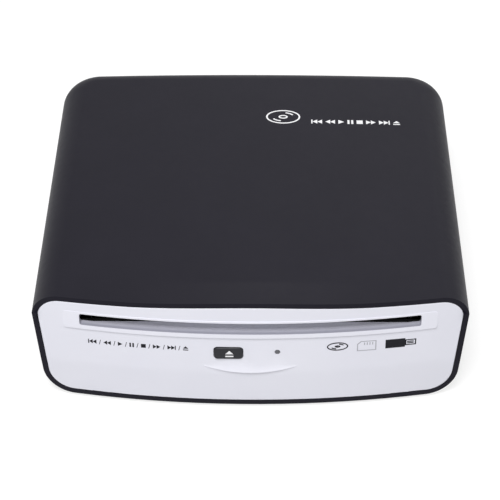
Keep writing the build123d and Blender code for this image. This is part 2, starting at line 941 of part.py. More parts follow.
plate_tab_x = wall_in - plate_tab_length / 2
plate_tab_back_y = chassis_back_y - sheet - ear_width / 2
plate_screw_places = corners(plate_tab_x, chassis_front_y + ear_width / 2, plate_tab_back_y)
plate_tab_z = (plate_z - 2 * sheet, plate_z)
chassis_y = (chassis_front_y, chassis_back_y)
with BuildPart() as loader_chassis:
    block((-wall_out, wall_out), chassis_y, (chassis_z, plate_z))
    inside_y = (chassis_front_y - sheet, chassis_back_y - sheet)
    block((-wall_in, wall_in), inside_y, (floor_top_z, plate_z), Mode.SUBTRACT)
    for x, y in ear_places:
        ear_x = around(x, ear_length + sheet)
        block(ear_x, around(y, ear_width), (chassis_z, floor_top_z))
    for x, y in ear_places:
        hole = small_screw_radius + screw_clearance
        bar("z", (x, y), (chassis_z, floor_top_z), hole, Mode.SUBTRACT)
    window_x = (-window_half_width, window_half_width)
    block(window_x, (window_front_y, window_back_y), (chassis_z, floor_top_z), Mode.SUBTRACT)
    for x, y in plate_screw_places:
        block(around(x, plate_tab_length), around(y, ear_width), plate_tab_z)
        bar("z", (x, y), plate_tab_z, small_screw_radius + thread_fit, Mode.SUBTRACT)
    for limits in ((-wall_out, -wall_in), (wall_in, wall_out)):
        bar("x", (pivot_y, pivot_z), limits, shaft_radius + fit, Mode.SUBTRACT)
    bar("x", (idler_y, idler_z), (-wall_out, -wall_in), shaft_radius + fit, Mode.SUBTRACT)
    hole = motor_shaft_radius + screw_clearance
    bar("x", (motor_y, motor_z), (-wall_out, -wall_in), hole, Mode.SUBTRACT)
    with BuildSketch(Plane.YZ.offset(wall_in)):
        add(slot_between(follower_start, follower_end, slide_pin_radius + 2 * slide_pin_gap))
    extrude(amount=sheet, mode=Mode.SUBTRACT)
    for y, z in guide_places:
        bar("x", (y, z), (wall_in, wall_out), guide_pin_radius + fit, Mode.SUBTRACT)
finish(loader_chassis.part, "loader_chassis")

with BuildPart() as chassis_screws:
    for x, y in ear_places:
        small_screw("z", (x, y), floor_top_z, chassis_z - small_screw_length + small_screw_radius)
finish(chassis_screws.part, "chassis_screws")

clamp_window_x = clamp_half_width + clamp_window_side
clamp_window_y = (spindle_y - clamp_half_width - clamp_window_front, clamp_hinge_y - clamp_window_back)
hinge_ear_x = clamp_half_width + side_play
with BuildPart() as loader_top_plate:
    block((-wall_out, wall_out), chassis_y, (plate_z, plate_top_z))
    block((-clamp_window_x, clamp_window_x), clamp_window_y, (plate_z, plate_top_z), Mode.SUBTRACT)
    for x, y in plate_screw_places:
        bar("z", (x, y), (plate_z, plate_top_z), small_screw_radius + screw_clearance, Mode.SUBTRACT)
    for side in (-1, 1):
        x = around(side * (hinge_ear_x + sheet / 2), sheet)
        ear_z = (plate_top_z - sheet / 2, clamp_pin_z + hinge_ear_rise)
        block(x, around(clamp_hinge_y, hinge_ear_length), ear_z)
        bar("x", (clamp_hinge_y, clamp_pin_z), x, shaft_radius + fit, Mode.SUBTRACT)
finish(loader_top_plate.part, "loader_top_plate")

with BuildPart() as top_plate_screws:
    for x, y in plate_screw_places:
        small_screw("z", (x, y), plate_top_z, plate_tab_z[0] + small_screw_radius / 2)
finish(top_plate_screws.part, "top_plate_screws")

guide_low_z = disc_z + disc_thickness / 2 + screw_clearance
guide_knee_z = (plate_z + guide_low_z) / 2
with BuildPart() as disc_guide:
    with BuildSketch(Plane.YZ.offset(-roller_end)):
        with BuildLine():
            Polyline(
                (roller_y - guide_front_reach, plate_z),
                (roller_y - guide_front_reach, guide_knee_z),
                (roller_y - guide_land, guide_low_z),
                (roller_y + guide_land, guide_low_z),
                (roller_y + guide_back_reach, guide_knee_z),
                (roller_y + guide_back_reach, plate_z),
                close=True,
            )
        make_face()
    extrude(amount=2 * roller_end)
finish(disc_guide.part, "disc_guide")

# Roller, bracket and belt

roller_z = disc_under_z - roller_outer_radius
pulley_near_x = -arm_x - sheet - side_play
pulley_x = (pulley_near_x - pulley_width, pulley_near_x)
belt_path_radius = pulley_radius + belt_gap + belt_radius
web_z = (pivot_z + roller_z - bracket_arm_half) / 2
web_y = (roller_y + bracket_web_start, roller_y + bracket_web_end)
with BuildPart() as roller_bracket:
    for side in (-1, 1):
        x = around(side * (arm_x + sheet / 2), sheet)
        with BuildSketch(Plane.YZ.offset(x[0])):
            add(slot_between((pivot_y, pivot_z), (roller_y, roller_z), bracket_arm_half))
        extrude(amount=sheet)
        bar("x", (pivot_y, pivot_z), x, shaft_radius + fit, Mode.SUBTRACT)
        bar("x", (roller_y, roller_z), x, shaft_radius + fit, Mode.SUBTRACT)
    block((-arm_x, arm_x), web_y, (web_z, web_z + sheet))
finish(roller_bracket.part, "roller_bracket")

with BuildPart() as bracket_follower:
    bar("x", follower_start, (arm_x + sheet, slide_out + sheet / 2), slide_pin_radius)
finish(bracket_follower.part, "bracket_follower")

with BuildPart() as roller_shaft:
    bar("x", (roller_y, roller_z), (pulley_x[0], arm_x + 2 * sheet), shaft_radius)
finish(roller_shaft.part, "roller_shaft")

with BuildPart() as feed_roller:
    for side in (-1, 1):
        with BuildSketch(Plane.XY.offset(roller_z)):
            with BuildLine():
                Polyline(
                    (side * roller_start, roller_y + shaft_radius),
                    (side * roller_start, roller_y + roller_inner_radius),
                    (side * roller_end, roller_y + roller_outer_radius),
                    (side * roller_end, roller_y + shaft_radius),
                    close=True,
                )
            make_face()
        revolve(axis=Axis((0, roller_y, roller_z), (1, 0, 0)))
finish(feed_roller.part, "feed_roller")


def pulley(centre, x, bore):
    """Add a belt pulley with a round groove about an axis along X."""
    bar("x", centre, x, pulley_radius + 2 * belt_radius)
    middle = (x[0] + x[1]) / 2
    with BuildSketch(Plane.XY.offset(centre[1])) as groove:
        with Locations((middle, centre[0] + belt_path_radius)):
            Circle(belt_radius + belt_gap)
    revolve(groove.sketch, axis=Axis((0, centre[0], centre[1]), (1, 0, 0)), mode=Mode.SUBTRACT)
    bar("x", centre, x, bore, Mode.SUBTRACT)


with BuildPart() as roller_pulley:
    pulley((roller_y, roller_z), pulley_x, shaft_radius)
finish(roller_pulley.part, "roller_pulley")

with BuildPart() as pivot_pulley:
    pulley((pivot_y, pivot_z), pulley_x, shaft_radius)
finish(pivot_pulley.part, "pivot_pulley")

belt_x = (pulley_x[0] + pulley_x[1]) / 2
belt_run = hypot(pivot_y - roller_y, pivot_z - roller_z)
belt_plane = Plane(
    origin=(belt_x, (pivot_y + roller_y) / 2, (pivot_z + roller_z) / 2),
    x_dir=(0, (pivot_y - roller_y) / belt_run, (pivot_z - roller_z) / belt_run),
    z_dir=(1, 0, 0),
)
belt_start = belt_plane.from_local_coords((0, belt_path_radius))
with BuildPart() as drive_belt:
    with BuildLine(belt_plane):
        top = Line((-belt_run / 2, belt_path_radius), (belt_run / 2, belt_path_radius))
        ThreePointArc(top @ 1, (belt_run / 2 + belt_path_radius, 0), (belt_run / 2, -belt_path_radius))
        Line((belt_run / 2, -belt_path_radius), (-belt_run / 2, -belt_path_radius))
        ThreePointArc((-belt_run / 2, -belt_path_radius), (-belt_run / 2 - belt_path_radius, 0), top @ 0)
    with BuildSketch(Plane(origin=belt_start, z_dir=belt_plane.x_dir)):
        Circle(belt_radius)
    sweep()
finish(drive_belt.part, "drive_belt")

# Gear train


def gear_face(teeth, turn):
    """A spur gear's outline, each tooth an involute pair, with one tooth centred at turn."""
    angle = radians(pressure_angle)
    pitch = gear_module * teeth / 2
    base = pitch * cos(angle)
    tip = pitch + addendum * gear_module
    root = pitch - dedendum * gear_module
    low = max(base, root)
    half = pi / 2 / teeth - backlash / 2 / pitch + tan(angle) - angle
    flank = []
    for i in range(flank_points):
        radius = low + (tip - low) * i / (flank_points - 1)
        slope = acos(base / radius)
        flank.append((radius, half - tan(slope) + slope))
    if root < base:
        flank.insert(0, (root, flank[0][1]))
    points = []
    for k in range(teeth):
        centre = turn + 2 * pi * k / teeth
        for radius, spread in flank:
            points.append((radius * cos(centre - spread), radius * sin(centre - spread)))
        for radius, spread in reversed(flank):
            points.append((radius * cos(centre + spread), radius * sin(centre + spread)))
    with BuildSketch(mode=Mode.PRIVATE) as face:
        with BuildLine():
            Polyline(*points, close=True)
        make_face()
    return face.sketch


def gear_on(plane, centre, teeth, turn, bore, width=gear_width):
    """Add a toothed ring on a plane, centred at a point of it."""
    with BuildSketch(plane) as ring:
        with Locations(centre):
            add(gear_face(teeth, turn))
            Circle(bore, mode=Mode.SUBTRACT)
    extrude(ring.sketch, amount=width)


layer_one_x = -wall_out - gear_layer_gap - gear_width
layer_two_x = layer_one_x - gear_layer_gap - gear_width
to_idler = radians(idler_angle)
to_motor = atan2(motor_z - idler_z, motor_y - idler_y)
with BuildPart() as pivot_gear:
    gear_on(Plane.YZ.offset(layer_one_x), (pivot_y, pivot_z), pivot_gear_teeth, to_idler, shaft_radius)
finish(pivot_gear.part, "pivot_gear")

with BuildPart() as pivot_shaft:
    bar("x", (pivot_y, pivot_z), (layer_one_x - gear_layer_gap / 2, sheet - arm_x), shaft_radius)
finish(pivot_shaft.part, "pivot_shaft")

with BuildPart() as pivot_pin:
    bar("x", (pivot_y, pivot_z), (arm_x - sheet, wall_out + gear_layer_gap), shaft_radius)
finish(pivot_pin.part, "pivot_pin")

idler = (idler_y, idler_z)
with BuildPart() as idler_gear:
    small_turn = to_idler + pi + pi / idler_small_teeth
    bore = shaft_radius + fit
    gear_on(Plane.YZ.offset(layer_one_x), idler, idler_small_teeth, small_turn, bore)
    gear_on(Plane.YZ.offset(layer_two_x), idler, idler_large_teeth, to_motor, bore)
    with BuildSketch(Plane.YZ.offset(layer_two_x + gear_width)):
        with Locations(idler):
            Circle(gear_module * (idler_small_teeth / 2 - dedendum))
            Circle(bore, mode=Mode.SUBTRACT)
    extrude(amount=gear_layer_gap)
finish(idler_gear.part, "idler_gear")

idler_head_x = layer_two_x - gear_layer_gap
with BuildPart() as idler_pin:
    bar("x", idler, (idler_head_x - pin_head_height, -wall_in), shaft_radius)
    bar("x", idler, (idler_head_x - pin_head_height, idler_head_x), pin_head_radius)
finish(idler_pin.part, "idler_pin")

with BuildPart() as motor_pinion:
    turn = to_motor + pi + pi / pinion_teeth
    gear_on(Plane.YZ.offset(layer_two_x), (motor_y, motor_z), pinion_teeth, turn, motor_shaft_radius)
    bar("x", (motor_y, motor_z), (layer_two_x, motor_mouth_depth - wall_in - 2 * fit), motor_shaft_radius)
finish(motor_pinion.part, "motor_pinion")

motor_end_x = motor_length - wall_in
with BuildPart() as loading_motor:
    bar("x", (motor_y, motor_z), (-wall_in, motor_end_x), motor_radius)
    fillet(loading_motor.faces().sort_by(Axis.X)[-1].edges(), motor_edge_radius)
    cap = (motor_end_x - motor_cap_height, motor_end_x + motor_cap_height)
    bar("x", (motor_y, motor_z), cap, motor_cap_radius)
    mouth = (-wall_in, motor_mouth_depth - wall_in)
    bar("x", (motor_y, motor_z), mouth, motor_shaft_radius + screw_clearance, Mode.SUBTRACT)
finish(loading_motor.part, "loading_motor")

# Shift slide and its guide pins

slide_y = (follower_y - slide_end - slide_travel, clamp_link_y + slide_end)
slide_z = (follower_height - slide_below, link_z + slide_above)


def slide_way(start, end):
    """The cam slot that a pin needs in a plate that moves back while the pin goes from start to end."""
    return slot_between(start, (end[0] - slide_travel, end[1]), slide_pin_radius + slide_pin_gap)


with BuildPart() as shift_slide:
    block((slide_x, slide_out), slide_y, slide_z)
    with BuildSketch(Plane.YZ.offset(slide_x)):
        add(slide_way(follower_start, follower_end))
        add(slide_way(link_start, link_end))
        for y, z in guide_places:
            add(slot_between((y - slide_travel, z), (y, z), guide_pin_radius + slide_pin_gap))
    extrude(amount=slide_thickness, mode=Mode.SUBTRACT)
    ends = shift_slide.edges().filter_by(Axis.X).group_by(Axis.Y)
    fillet(ends[0] + ends[-1], slide_corner)
finish(shift_slide.part, "shift_slide")

guide_head_x = slide_out + guide_head_gap
with BuildPart() as slide_guide_pins:
    for y, z in guide_places:
        bar("x", (y, z), (wall_in, guide_head_x + sheet), guide_pin_radius)
        bar("x", (y, z), (guide_head_x, guide_head_x + sheet), guide_head_radius)
finish(slide_guide_pins.part, "slide_guide_pins")

# Clamp

clamp_z = (clamp_arm_z, clamp_arm_top_z)
with BuildPart() as clamp_arm:
    clamp_y = (spindle_y, clamp_hinge_y + arm_ear_length / 2)
    block((-clamp_half_width, clamp_half_width), clamp_y, clamp_z)
    bar("z", (0, spindle_y), clamp_z, clamp_half_width)
    tab_x = slide_out + 2 * sheet
    tab_y = around(clamp_link_y, clamp_link_width)
    block((0, tab_x), tab_y, clamp_z)
    block((tab_x - sheet, tab_x), tab_y, (link_z - clamp_tab_reach, clamp_arm_top_z))
    bar("x", link_start, (slide_x - slide_gap / 2, tab_x - sheet / 2), slide_pin_radius)
    for side in (-1, 1):
        x = around(side * (clamp_half_width - sheet / 2), sheet)
        ear_z = (clamp_arm_z, clamp_pin_z + hinge_ear_rise)
        block(x, around(clamp_hinge_y, arm_ear_length), ear_z)
        bar("x", (clamp_hinge_y, clamp_pin_z), x, shaft_radius + fit, Mode.SUBTRACT)
    bar("z", (0, spindle_y), clamp_z, puck_stem_radius + puck_play, Mode.SUBTRACT)
finish(clamp_arm.part, "clamp_arm")

with BuildPart() as clamp_pin:
    clamp_pin_x = hinge_ear_x + 1.5 * sheet
    bar("x", (clamp_hinge_y, clamp_pin_z), (-clamp_pin_x, clamp_pin_x), shaft_radius)
finish(clamp_pin.part, "clamp_pin")

puck_low_z = plate_z + puck_lift
puck_top_z = clamp_arm_z - puck_play
puck_cap_z = clamp_arm_top_z + puck_play
with BuildPart() as clamp_puck:
    bar("z", (0, spindle_y), (puck_low_z, puck_top_z), puck_radius)
    recess_z = puck_low_z + puck_recess_depth
    bar("z", (0, spindle_y), (puck_low_z, recess_z), puck_recess_radius, Mode.SUBTRACT)
    bar("z", (0, spindle_y), (recess_z, puck_cap_z), puck_stem_radius)
    bar("z", (0, spindle_y), (puck_cap_z, puck_cap_z + puck_cap_height), puck_cap_radius)
finish(clamp_puck.part, "clamp_puck")

# Traverse frame on its dampers

frame_z = floor_top_z + frame_lift
frame_top_z = frame_z + frame_thickness
frame_span = (frame_z, frame_top_z)
rod_z = frame_top_z + rod_lift
rod_back_y = frame_back_y - rod_block
wing_x = frame_left - wing_length
wing_y = (sled_gear_y - wing_front, sled_gear_y + wing_back)
damper_front_y = frame_front_y + damper_inset_y
damper_right_x = frame_right - damper_inset_x
damper_places = [
    (wing_x + damper_inset_x, wing_y[1] - damper_inset_y),
    (frame_left + damper_inset_x, damper_front_y),
    (damper_right_x, damper_front_y),
    (damper_right_x, frame_back_y - damper_inset_y),
]
gear_reach = gear_module * (sled_gear_teeth + pinion_teeth) / 2
sled_gear_x = rack_pitch_x - gear_module * sled_pinion_teeth / 2
sled_motor_x = sled_gear_x + gear_reach * cos(radians(sled_motor_angle))
sled_motor_y = sled_gear_y + gear_reach * sin(radians(sled_motor_angle))
rod_places = [(rod_left_x, rod_z), (rod_right_x, rod_z)]

frame_plate = ((frame_left, frame_right), (frame_front_y, frame_back_y))
frame_wing = ((wing_x, frame_left + frame_web), wing_y)
with BuildPart() as traverse_frame:
    with BuildSketch(Plane.XY.offset(frame_z)):
        for x, y in (frame_plate, frame_wing):
            with Locations(((x[0] + x[1]) / 2, (y[0] + y[1]) / 2)):
                RectangleRounded(x[1] - x[0], y[1] - y[0], frame_corner)
    extrude(amount=frame_thickness)
    sled_window_y = (spindle_y + spindle_motor_radius + frame_web, frame_back_y - 2 * rod_block)
    block((-sled_window_half, sled_window_half), sled_window_y, frame_span, Mode.SUBTRACT)
    for x, z in rod_places:
        for y in (rod_front_y, rod_back_y):
            saddle_x = around(x, 2 * rod_radius + 2 * sheet)
            block(saddle_x, (y, y + rod_block), (frame_top_z, rod_z + rod_radius / 2))
        bar("y", (x, z), (rod_front_y, frame_back_y), rod_radius + fit / 2, Mode.SUBTRACT)
    for x, y in damper_places:
        bar("z", (x, y), frame_span, damper_neck + fit, Mode.SUBTRACT)
    bar("z", (sled_motor_x, sled_motor_y), frame_span, sled_motor_radius + fit, Mode.SUBTRACT)
    bar("z", (sled_gear_x, sled_gear_y), frame_span, shaft_radius + fit / 2, Mode.SUBTRACT)
finish(traverse_frame.part, "traverse_frame")

damper_top_z = frame_top_z + damper_flange
with BuildPart() as rubber_dampers:
    for x, y in damper_places:
        bar("z", (x, y), (floor_top_z, frame_z - fit), damper_radius)
        bar("z", (x, y), (frame_z - fit, frame_top_z + fit), damper_neck)
        bar("z", (x, y), (frame_top_z + fit, damper_top_z), damper_radius)
        bar("z", (x, y), (floor_top_z, damper_top_z), small_screw_radius + fit, Mode.SUBTRACT)
finish(rubber_dampers.part, "rubber_dampers")

with BuildPart() as damper_screws:
    for x, y in damper_places:
        small_screw("z", (x, y), damper_top_z, floor_top_z + fit)
finish(damper_screws.part, "damper_screws")

with BuildPart() as guide_rods:
    for x, z in rod_places:
        bar("y", (x, z), (rod_front_y, frame_back_y), rod_radius)
finish(guide_rods.part, "guide_rods")

# Spindle and turntable

platter_z = disc_under_z - disc_drop
plate_under_z = platter_z - pad_thickness
spindle_floor_z = frame_top_z + sheet
motor_top_z = frame_top_z + spindle_motor_height
with BuildPart() as spindle_motor:
    bar("z", (0, spindle_y), (frame_top_z, motor_top_z), spindle_motor_radius)
    fillet(spindle_motor.faces().sort_by(Axis.Z)[-1].edges(), motor_edge_radius)
    cap = (motor_top_z - motor_cap_height, motor_top_z + motor_cap_height)
    bar("z", (0, spindle_y), cap, spindle_cap_radius)
    shaft_hole = (spindle_floor_z, motor_top_z + motor_cap_height)
    bar("z", (0, spindle_y), shaft_hole, spindle_shaft_radius + fit, Mode.SUBTRACT)
finish(spindle_motor.part, "spindle_motor")

with BuildPart() as turntable:
    bar("z", (0, spindle_y), (spindle_floor_z + 2 * fit, plate_under_z), spindle_shaft_radius)
    bar("z", (0, spindle_y), (plate_under_z - platter_thickness, plate_under_z), turntable_radius)
    bar("z", (0, spindle_y), (plate_under_z - platter_thickness / 2, platter_z + hub_height), hub_radius)
    hub_edge = turntable.faces().sort_by(Axis.Z)[-1].edges()
    chamfer(hub_edge, hub_chamfer)
finish(turntable.part, "turntable")

with BuildPart() as turntable_pad:
    bar("z", (0, spindle_y), (plate_under_z, platter_z), turntable_radius)
    bar("z", (0, spindle_y), (plate_under_z, platter_z), pad_inner_radius, Mode.SUBTRACT)
finish(turntable_pad.part, "turntable_pad")

# Pickup sled

sled_z = frame_top_z + sled_lift
sled_top_z = sled_z + sled_tall
sled_back_y = sled_front_y + sled_length
sled_y = (sled_front_y, sled_back_y)
lug_z = (sled_z, rod_z + rod_radius + sheet / 2)
rack_y = (sled_gear_y - sled_travel - rack_spare, sled_gear_y + rack_spare)
rack_z = around(rod_z, rack_thickness)
rack_root_x = rack_pitch_x + dedendum * gear_module
rack_tip_x = rack_pitch_x - addendum * gear_module
rack_pitch = pi * gear_module
with BuildPart() as pickup_sled:
    block((rod_left_x + sled_shoulder, rod_right_x - sled_shoulder), sled_y, (sled_z, sled_top_z))
    block((rack_root_x + rack_back - fit, rod_left_x + sled_shoulder), sled_y, lug_z)
    right_lug_y = (sled_front_y + sled_shoulder, sled_back_y - sled_shoulder)
    block((rod_right_x - sled_shoulder, rod_right_x + right_lug_reach), right_lug_y, lug_z)
    block((rack_root_x, rack_root_x + rack_back), rack_y, rack_z)
    for x, z in rod_places:
        bar("y", (x, z), sled_y, rod_radius + fit, Mode.SUBTRACT)
    with BuildSketch(Plane.XY.offset(rack_z[0])):
        half_tooth = rack_pitch / 4 - backlash / 2
        slope = tan(radians(pressure_angle))
        root_half = half_tooth + slope * dedendum * gear_module
        tip_half = half_tooth - slope * addendum * gear_module
        first = -int((sled_gear_y - rack_y[0]) / rack_pitch - 0.5)
        last = int((rack_y[1] - sled_gear_y) / rack_pitch - 0.5)
        for k in range(first, last + 1):
            y = sled_gear_y + k * rack_pitch
            with BuildLine():
                Polyline(
                    (rack_root_x + fit, y - root_half),
                    (rack_tip_x, y - tip_half),
                    (rack_tip_x, y + tip_half),
                    (rack_root_x + fit, y + root_half),
                    close=True,
                )
            make_face()
    extrude(amount=rack_thickness)
finish(pickup_sled.part, "pickup_sled")

lens_y = sled_front_y + lens_holder_size / 2 + lens_holder_inset
lens_holder_z = sled_top_z + lens_holder_gap
lens_seat_z = lens_holder_z + lens_seat_height
with BuildPart() as lens_holder:
    with BuildSketch(Plane.XY.offset(lens_holder_z)):
        with Locations((0, lens_y)):
            RectangleRounded(lens_holder_size, lens_holder_size, lens_holder_corner)
    extrude(amount=lens_holder_tall)
    seat = (lens_seat_z, lens_holder_z + lens_holder_tall)
    bar("z", (0, lens_y), seat, objective_radius + fit, Mode.SUBTRACT)
finish(lens_holder.part, "lens_holder")

with BuildPart() as objective_lens:
    base = lens_seat_z + fit
    bar("z", (0, lens_y), (base, base + objective_edge), objective_radius)
    with Locations((0, lens_y, base + objective_edge)):
        Sphere(objective_radius)
    split(bisect_by=Plane.XY.offset(base), keep=Keep.TOP)
finish(objective_lens.part, "objective_lens")

# Sled drive

gear_low_z = lug_z[1] + gear_layer_gap
gear_high_z = gear_low_z + gear_width
sled_motor_top_z = gear_low_z - sled_motor_gap
sled_motor_place = (sled_motor_x, sled_motor_y)
sled_gear_place = (sled_gear_x, sled_gear_y)
to_sled_motor = radians(sled_motor_angle)
with BuildPart() as sled_motor:
    bar("z", sled_motor_place, (floor_top_z + sled_motor_gap, sled_motor_top_z), sled_motor_radius)
    mouth = (sled_motor_top_z - motor_mouth_depth, sled_motor_top_z)
    bar("z", sled_motor_place, mouth, motor_shaft_radius + screw_clearance, Mode.SUBTRACT)
finish(sled_motor.part, "sled_motor")

with BuildPart() as sled_gear:
    bore = shaft_radius + fit
    low = rack_z[0] - rack_overlap
    gear_on(Plane.XY.offset(gear_low_z), sled_gear_place, sled_gear_teeth, to_sled_motor, bore)
    half_pitch = pi / sled_pinion_teeth
    gear_on(Plane.XY.offset(low), sled_gear_place, sled_pinion_teeth, half_pitch, bore, gear_low_z - low)
finish(sled_gear.part, "sled_gear")

with BuildPart() as sled_gear_pin:
    head_z = gear_high_z + gear_layer_gap / 2
    bar("z", sled_gear_place, (frame_z, head_z + pin_head_height), shaft_radius)
    bar("z", sled_gear_place, (head_z, head_z + pin_head_height), pin_head_radius)
finish(sled_gear_pin.part, "sled_gear_pin")

with BuildPart() as sled_pinion:
    turn = to_sled_motor + pi + pi / pinion_teeth
    gear_on(Plane.XY.offset(gear_low_z), sled_motor_place, pinion_teeth, turn, motor_shaft_radius)
    shaft = (sled_motor_top_z - motor_mouth_depth + 2 * fit, gear_high_z)
    bar("z", sled_motor_place, shaft, motor_shaft_radius)
finish(sled_pinion.part, "sled_pinion")

# Main board and its sockets

with BuildPart() as main_board:
    block(around(0, board_width), (board_front_y, board_back_y), (board_z, board_top_z))
    for x, y in board_places:
        bar("z", (x, y), (board_z, board_top_z), small_screw_radius + screw_clearance, Mode.SUBTRACT)
finish(main_board.part, "main_board")

with BuildPart() as board_screws:
    for x, y in board_places:
        small_screw("z", (x, y), board_top_z, board_z - small_screw_length + small_screw_radius)
finish(board_screws.part, "board_screws")


def chip(x, y, width, length):
    """Add a flat chip to the board's upper side."""
    block(around(x, width), around(y, length), (board_top_z, board_top_z + chip_tall))


with BuildPart() as board_chips:
    chip(processor_x, processor_y, processor_size, processor_size)
    for i in range(memory_count):
        chip(memory_x + i * memory_pitch, memory_y, memory_width, memory_length)
    chip(driver_x, driver_y, driver_width, driver_length)
finish(board_chips.part, "board_chips")

with BuildPart() as capacitors:
    for i in range(capacitor_count):
        place = (capacitor_x + i * capacitor_pitch, capacitor_y)
        bar("z", place, (board_top_z, board_top_z + capacitor_tall), capacitor_radius)
finish(capacitors.part, "capacitors")

shell_back_in = back_y - wall - tan(radians(side_draft)) * (seam_z - board_top_z)
nose_end = shell_back_in + nose_reach
body_end = shell_back_in - socket_gap - socket_shoulder


def socket_body(x, width, length, tall, nose_radius):
    """Add a socket's body on the board, with a round nose that reaches into the case's back."""
    block(around(x, width), (body_end - length, body_end), (board_top_z, board_top_z + tall))
    bar("y", (x, board_top_z + tall / 2), (body_end - socket_shoulder, nose_end), nose_radius)


with BuildPart() as power_jack:
    middle = (jack_x, board_top_z + jack_tall / 2)
    socket_body(jack_x, jack_width, jack_length, jack_tall, jack_nose_radius)
    bar("y", middle, (nose_end - jack_bore_depth, nose_end), jack_bore_radius, Mode.SUBTRACT)
    bar("y", middle, (nose_end - jack_bore_depth - sheet, nose_end - jack_pin_setback), jack_pin_radius)
finish(power_jack.part, "power_jack")

with BuildPart() as usb_socket:
    usb_z = (board_top_z, board_top_z + usb_tall)
    block(around(usb_x, usb_width), (nose_end - usb_length, nose_end), usb_z)
    inside_width = usb_width - 2 * usb_wall
    inside_y = (nose_end - usb_depth, nose_end)
    inside_z = (board_top_z + usb_wall, board_top_z + usb_tall - usb_wall)
    block(around(usb_x, inside_width), inside_y, inside_z, Mode.SUBTRACT)
    tongue_y = (inside_y[0] - usb_wall, nose_end - usb_tongue_setback)
    tongue_z = board_top_z + usb_tall / 2 + usb_wall
    tongue_width = inside_width - 2 * usb_tongue_side
    block(around(usb_x, tongue_width), tongue_y, (tongue_z, tongue_z + usb_tongue))
finish(usb_socket.part, "usb_socket")

with BuildPart() as av_socket:
    middle = (av_x, board_top_z + av_tall / 2)
    socket_body(av_x, av_width, av_length, av_tall, av_nose_radius)
    bar("y", middle, (nose_end - av_bore_depth, nose_end), av_bore_radius, Mode.SUBTRACT)
finish(av_socket.part, "av_socket")

# Flat cable from the front board to the main board

cable_y = front_board_far + cable_gap
cable_start_z = front_board_z - front_board_tall / 2 + cable_grip
cable_low_z = board_top_z + cable_lift
plug_y = board_front_y + cable_grip
with BuildPart() as front_cable:
    with BuildSketch(Plane.YZ.offset(-cable_width / 2)):
        with BuildLine():
            FilletPolyline(
                (cable_y, cable_start_z),
                (cable_y + cable_gap, cable_start_z - 2 * cable_grip),
                (cable_y + 2 * cable_gap, cable_low_z),
                (plug_y + cable_plug_length / 2, cable_low_z),
                radius=cable_bend,
            )
            offset(amount=cable_thickness / 2, side=Side.BOTH)
        make_face()
    extrude(amount=cable_width)
    plug_width = cable_width + 2 * cable_plug_side
    plug_z = (board_top_z, cable_low_z + cable_lift / 2)
    block(around(0, plug_width), (plug_y, plug_y + cable_plug_length), plug_z)
finish(front_cable.part, "front_cable")
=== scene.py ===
# %% [markdown]
# # A slot-loading disc player for a car
#
# The player is a low box of dark, soft-touch plastic with rounded shoulders. A glossy white panel
# closes its bowed front. A disc goes in through a long slot in that panel, and a button beside the
# middle brings it out again.
#
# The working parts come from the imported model, and this script adds what only shows: finishes,
# printed symbols, soft edges, light and a camera.

import json
from math import cos, pi, radians, sin

import bpy
import numpy as np
from mathutils import Matrix, Vector

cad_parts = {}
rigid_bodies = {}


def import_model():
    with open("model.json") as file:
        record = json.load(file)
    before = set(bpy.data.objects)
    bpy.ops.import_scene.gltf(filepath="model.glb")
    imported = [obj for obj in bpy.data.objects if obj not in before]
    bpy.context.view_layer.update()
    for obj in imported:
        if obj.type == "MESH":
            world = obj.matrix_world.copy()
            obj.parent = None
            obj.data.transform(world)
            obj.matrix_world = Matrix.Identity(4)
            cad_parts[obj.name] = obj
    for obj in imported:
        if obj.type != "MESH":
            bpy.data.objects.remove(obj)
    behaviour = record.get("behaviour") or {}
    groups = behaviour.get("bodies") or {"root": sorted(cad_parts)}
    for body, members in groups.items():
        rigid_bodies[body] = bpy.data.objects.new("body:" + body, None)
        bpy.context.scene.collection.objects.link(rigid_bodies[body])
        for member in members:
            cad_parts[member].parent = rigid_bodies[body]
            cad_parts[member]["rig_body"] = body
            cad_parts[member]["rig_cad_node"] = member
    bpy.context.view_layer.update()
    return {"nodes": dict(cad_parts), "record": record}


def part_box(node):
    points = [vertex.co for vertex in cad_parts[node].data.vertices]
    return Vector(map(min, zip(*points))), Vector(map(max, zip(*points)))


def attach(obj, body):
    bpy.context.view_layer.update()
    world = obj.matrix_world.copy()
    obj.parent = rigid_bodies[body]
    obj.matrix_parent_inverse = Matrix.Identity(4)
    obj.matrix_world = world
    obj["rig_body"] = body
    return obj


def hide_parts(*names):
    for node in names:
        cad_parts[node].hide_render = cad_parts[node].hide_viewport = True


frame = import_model()
nodes = frame["nodes"]

# %% [markdown]
# ## The camera
#
# The picture was taken from well above the front, with a long lens, so parallel edges stay nearly
# parallel. A camera is a place and three directions: right, up and back. Here they come from three
# angles and a distance, and a matrix puts them into the camera at once.

# %% Camera
MM = 0.001
elevation = radians(37.662)
azimuth = radians(0.644)
roll = radians(-0.216)
distance = 837.0 * MM
aim = Vector((-0.922, 2.56, 11.34)) * MM
sensor_width = 36.0
image_width = 500
focal_pixels = 1922.5

back = Vector((sin(azimuth) * cos(elevation), -cos(azimuth) * cos(elevation), sin(elevation)))
level_right = Vector((cos(azimuth), sin(azimuth), 0))
level_up = back.cross(level_right)
right = cos(roll) * level_right + sin(roll) * level_up
up = cos(roll) * level_up - sin(roll) * level_right

camera_data = bpy.data.cameras.new("camera")
camera_data.sensor_width = sensor_width
camera_data.lens = focal_pixels * sensor_width / image_width
camera_data.clip_start = 0.05
camera_data.clip_end = 10
camera = bpy.data.objects.new("camera", camera_data)
bpy.context.scene.collection.objects.link(camera)
turn = Matrix((right, up, back)).transposed().to_4x4()
camera.matrix_world = Matrix.Translation(aim + back * distance) @ turn
bpy.context.scene.camera = camera
print("lens", round(camera_data.lens, 1), "mm at", round(distance, 3), "m")

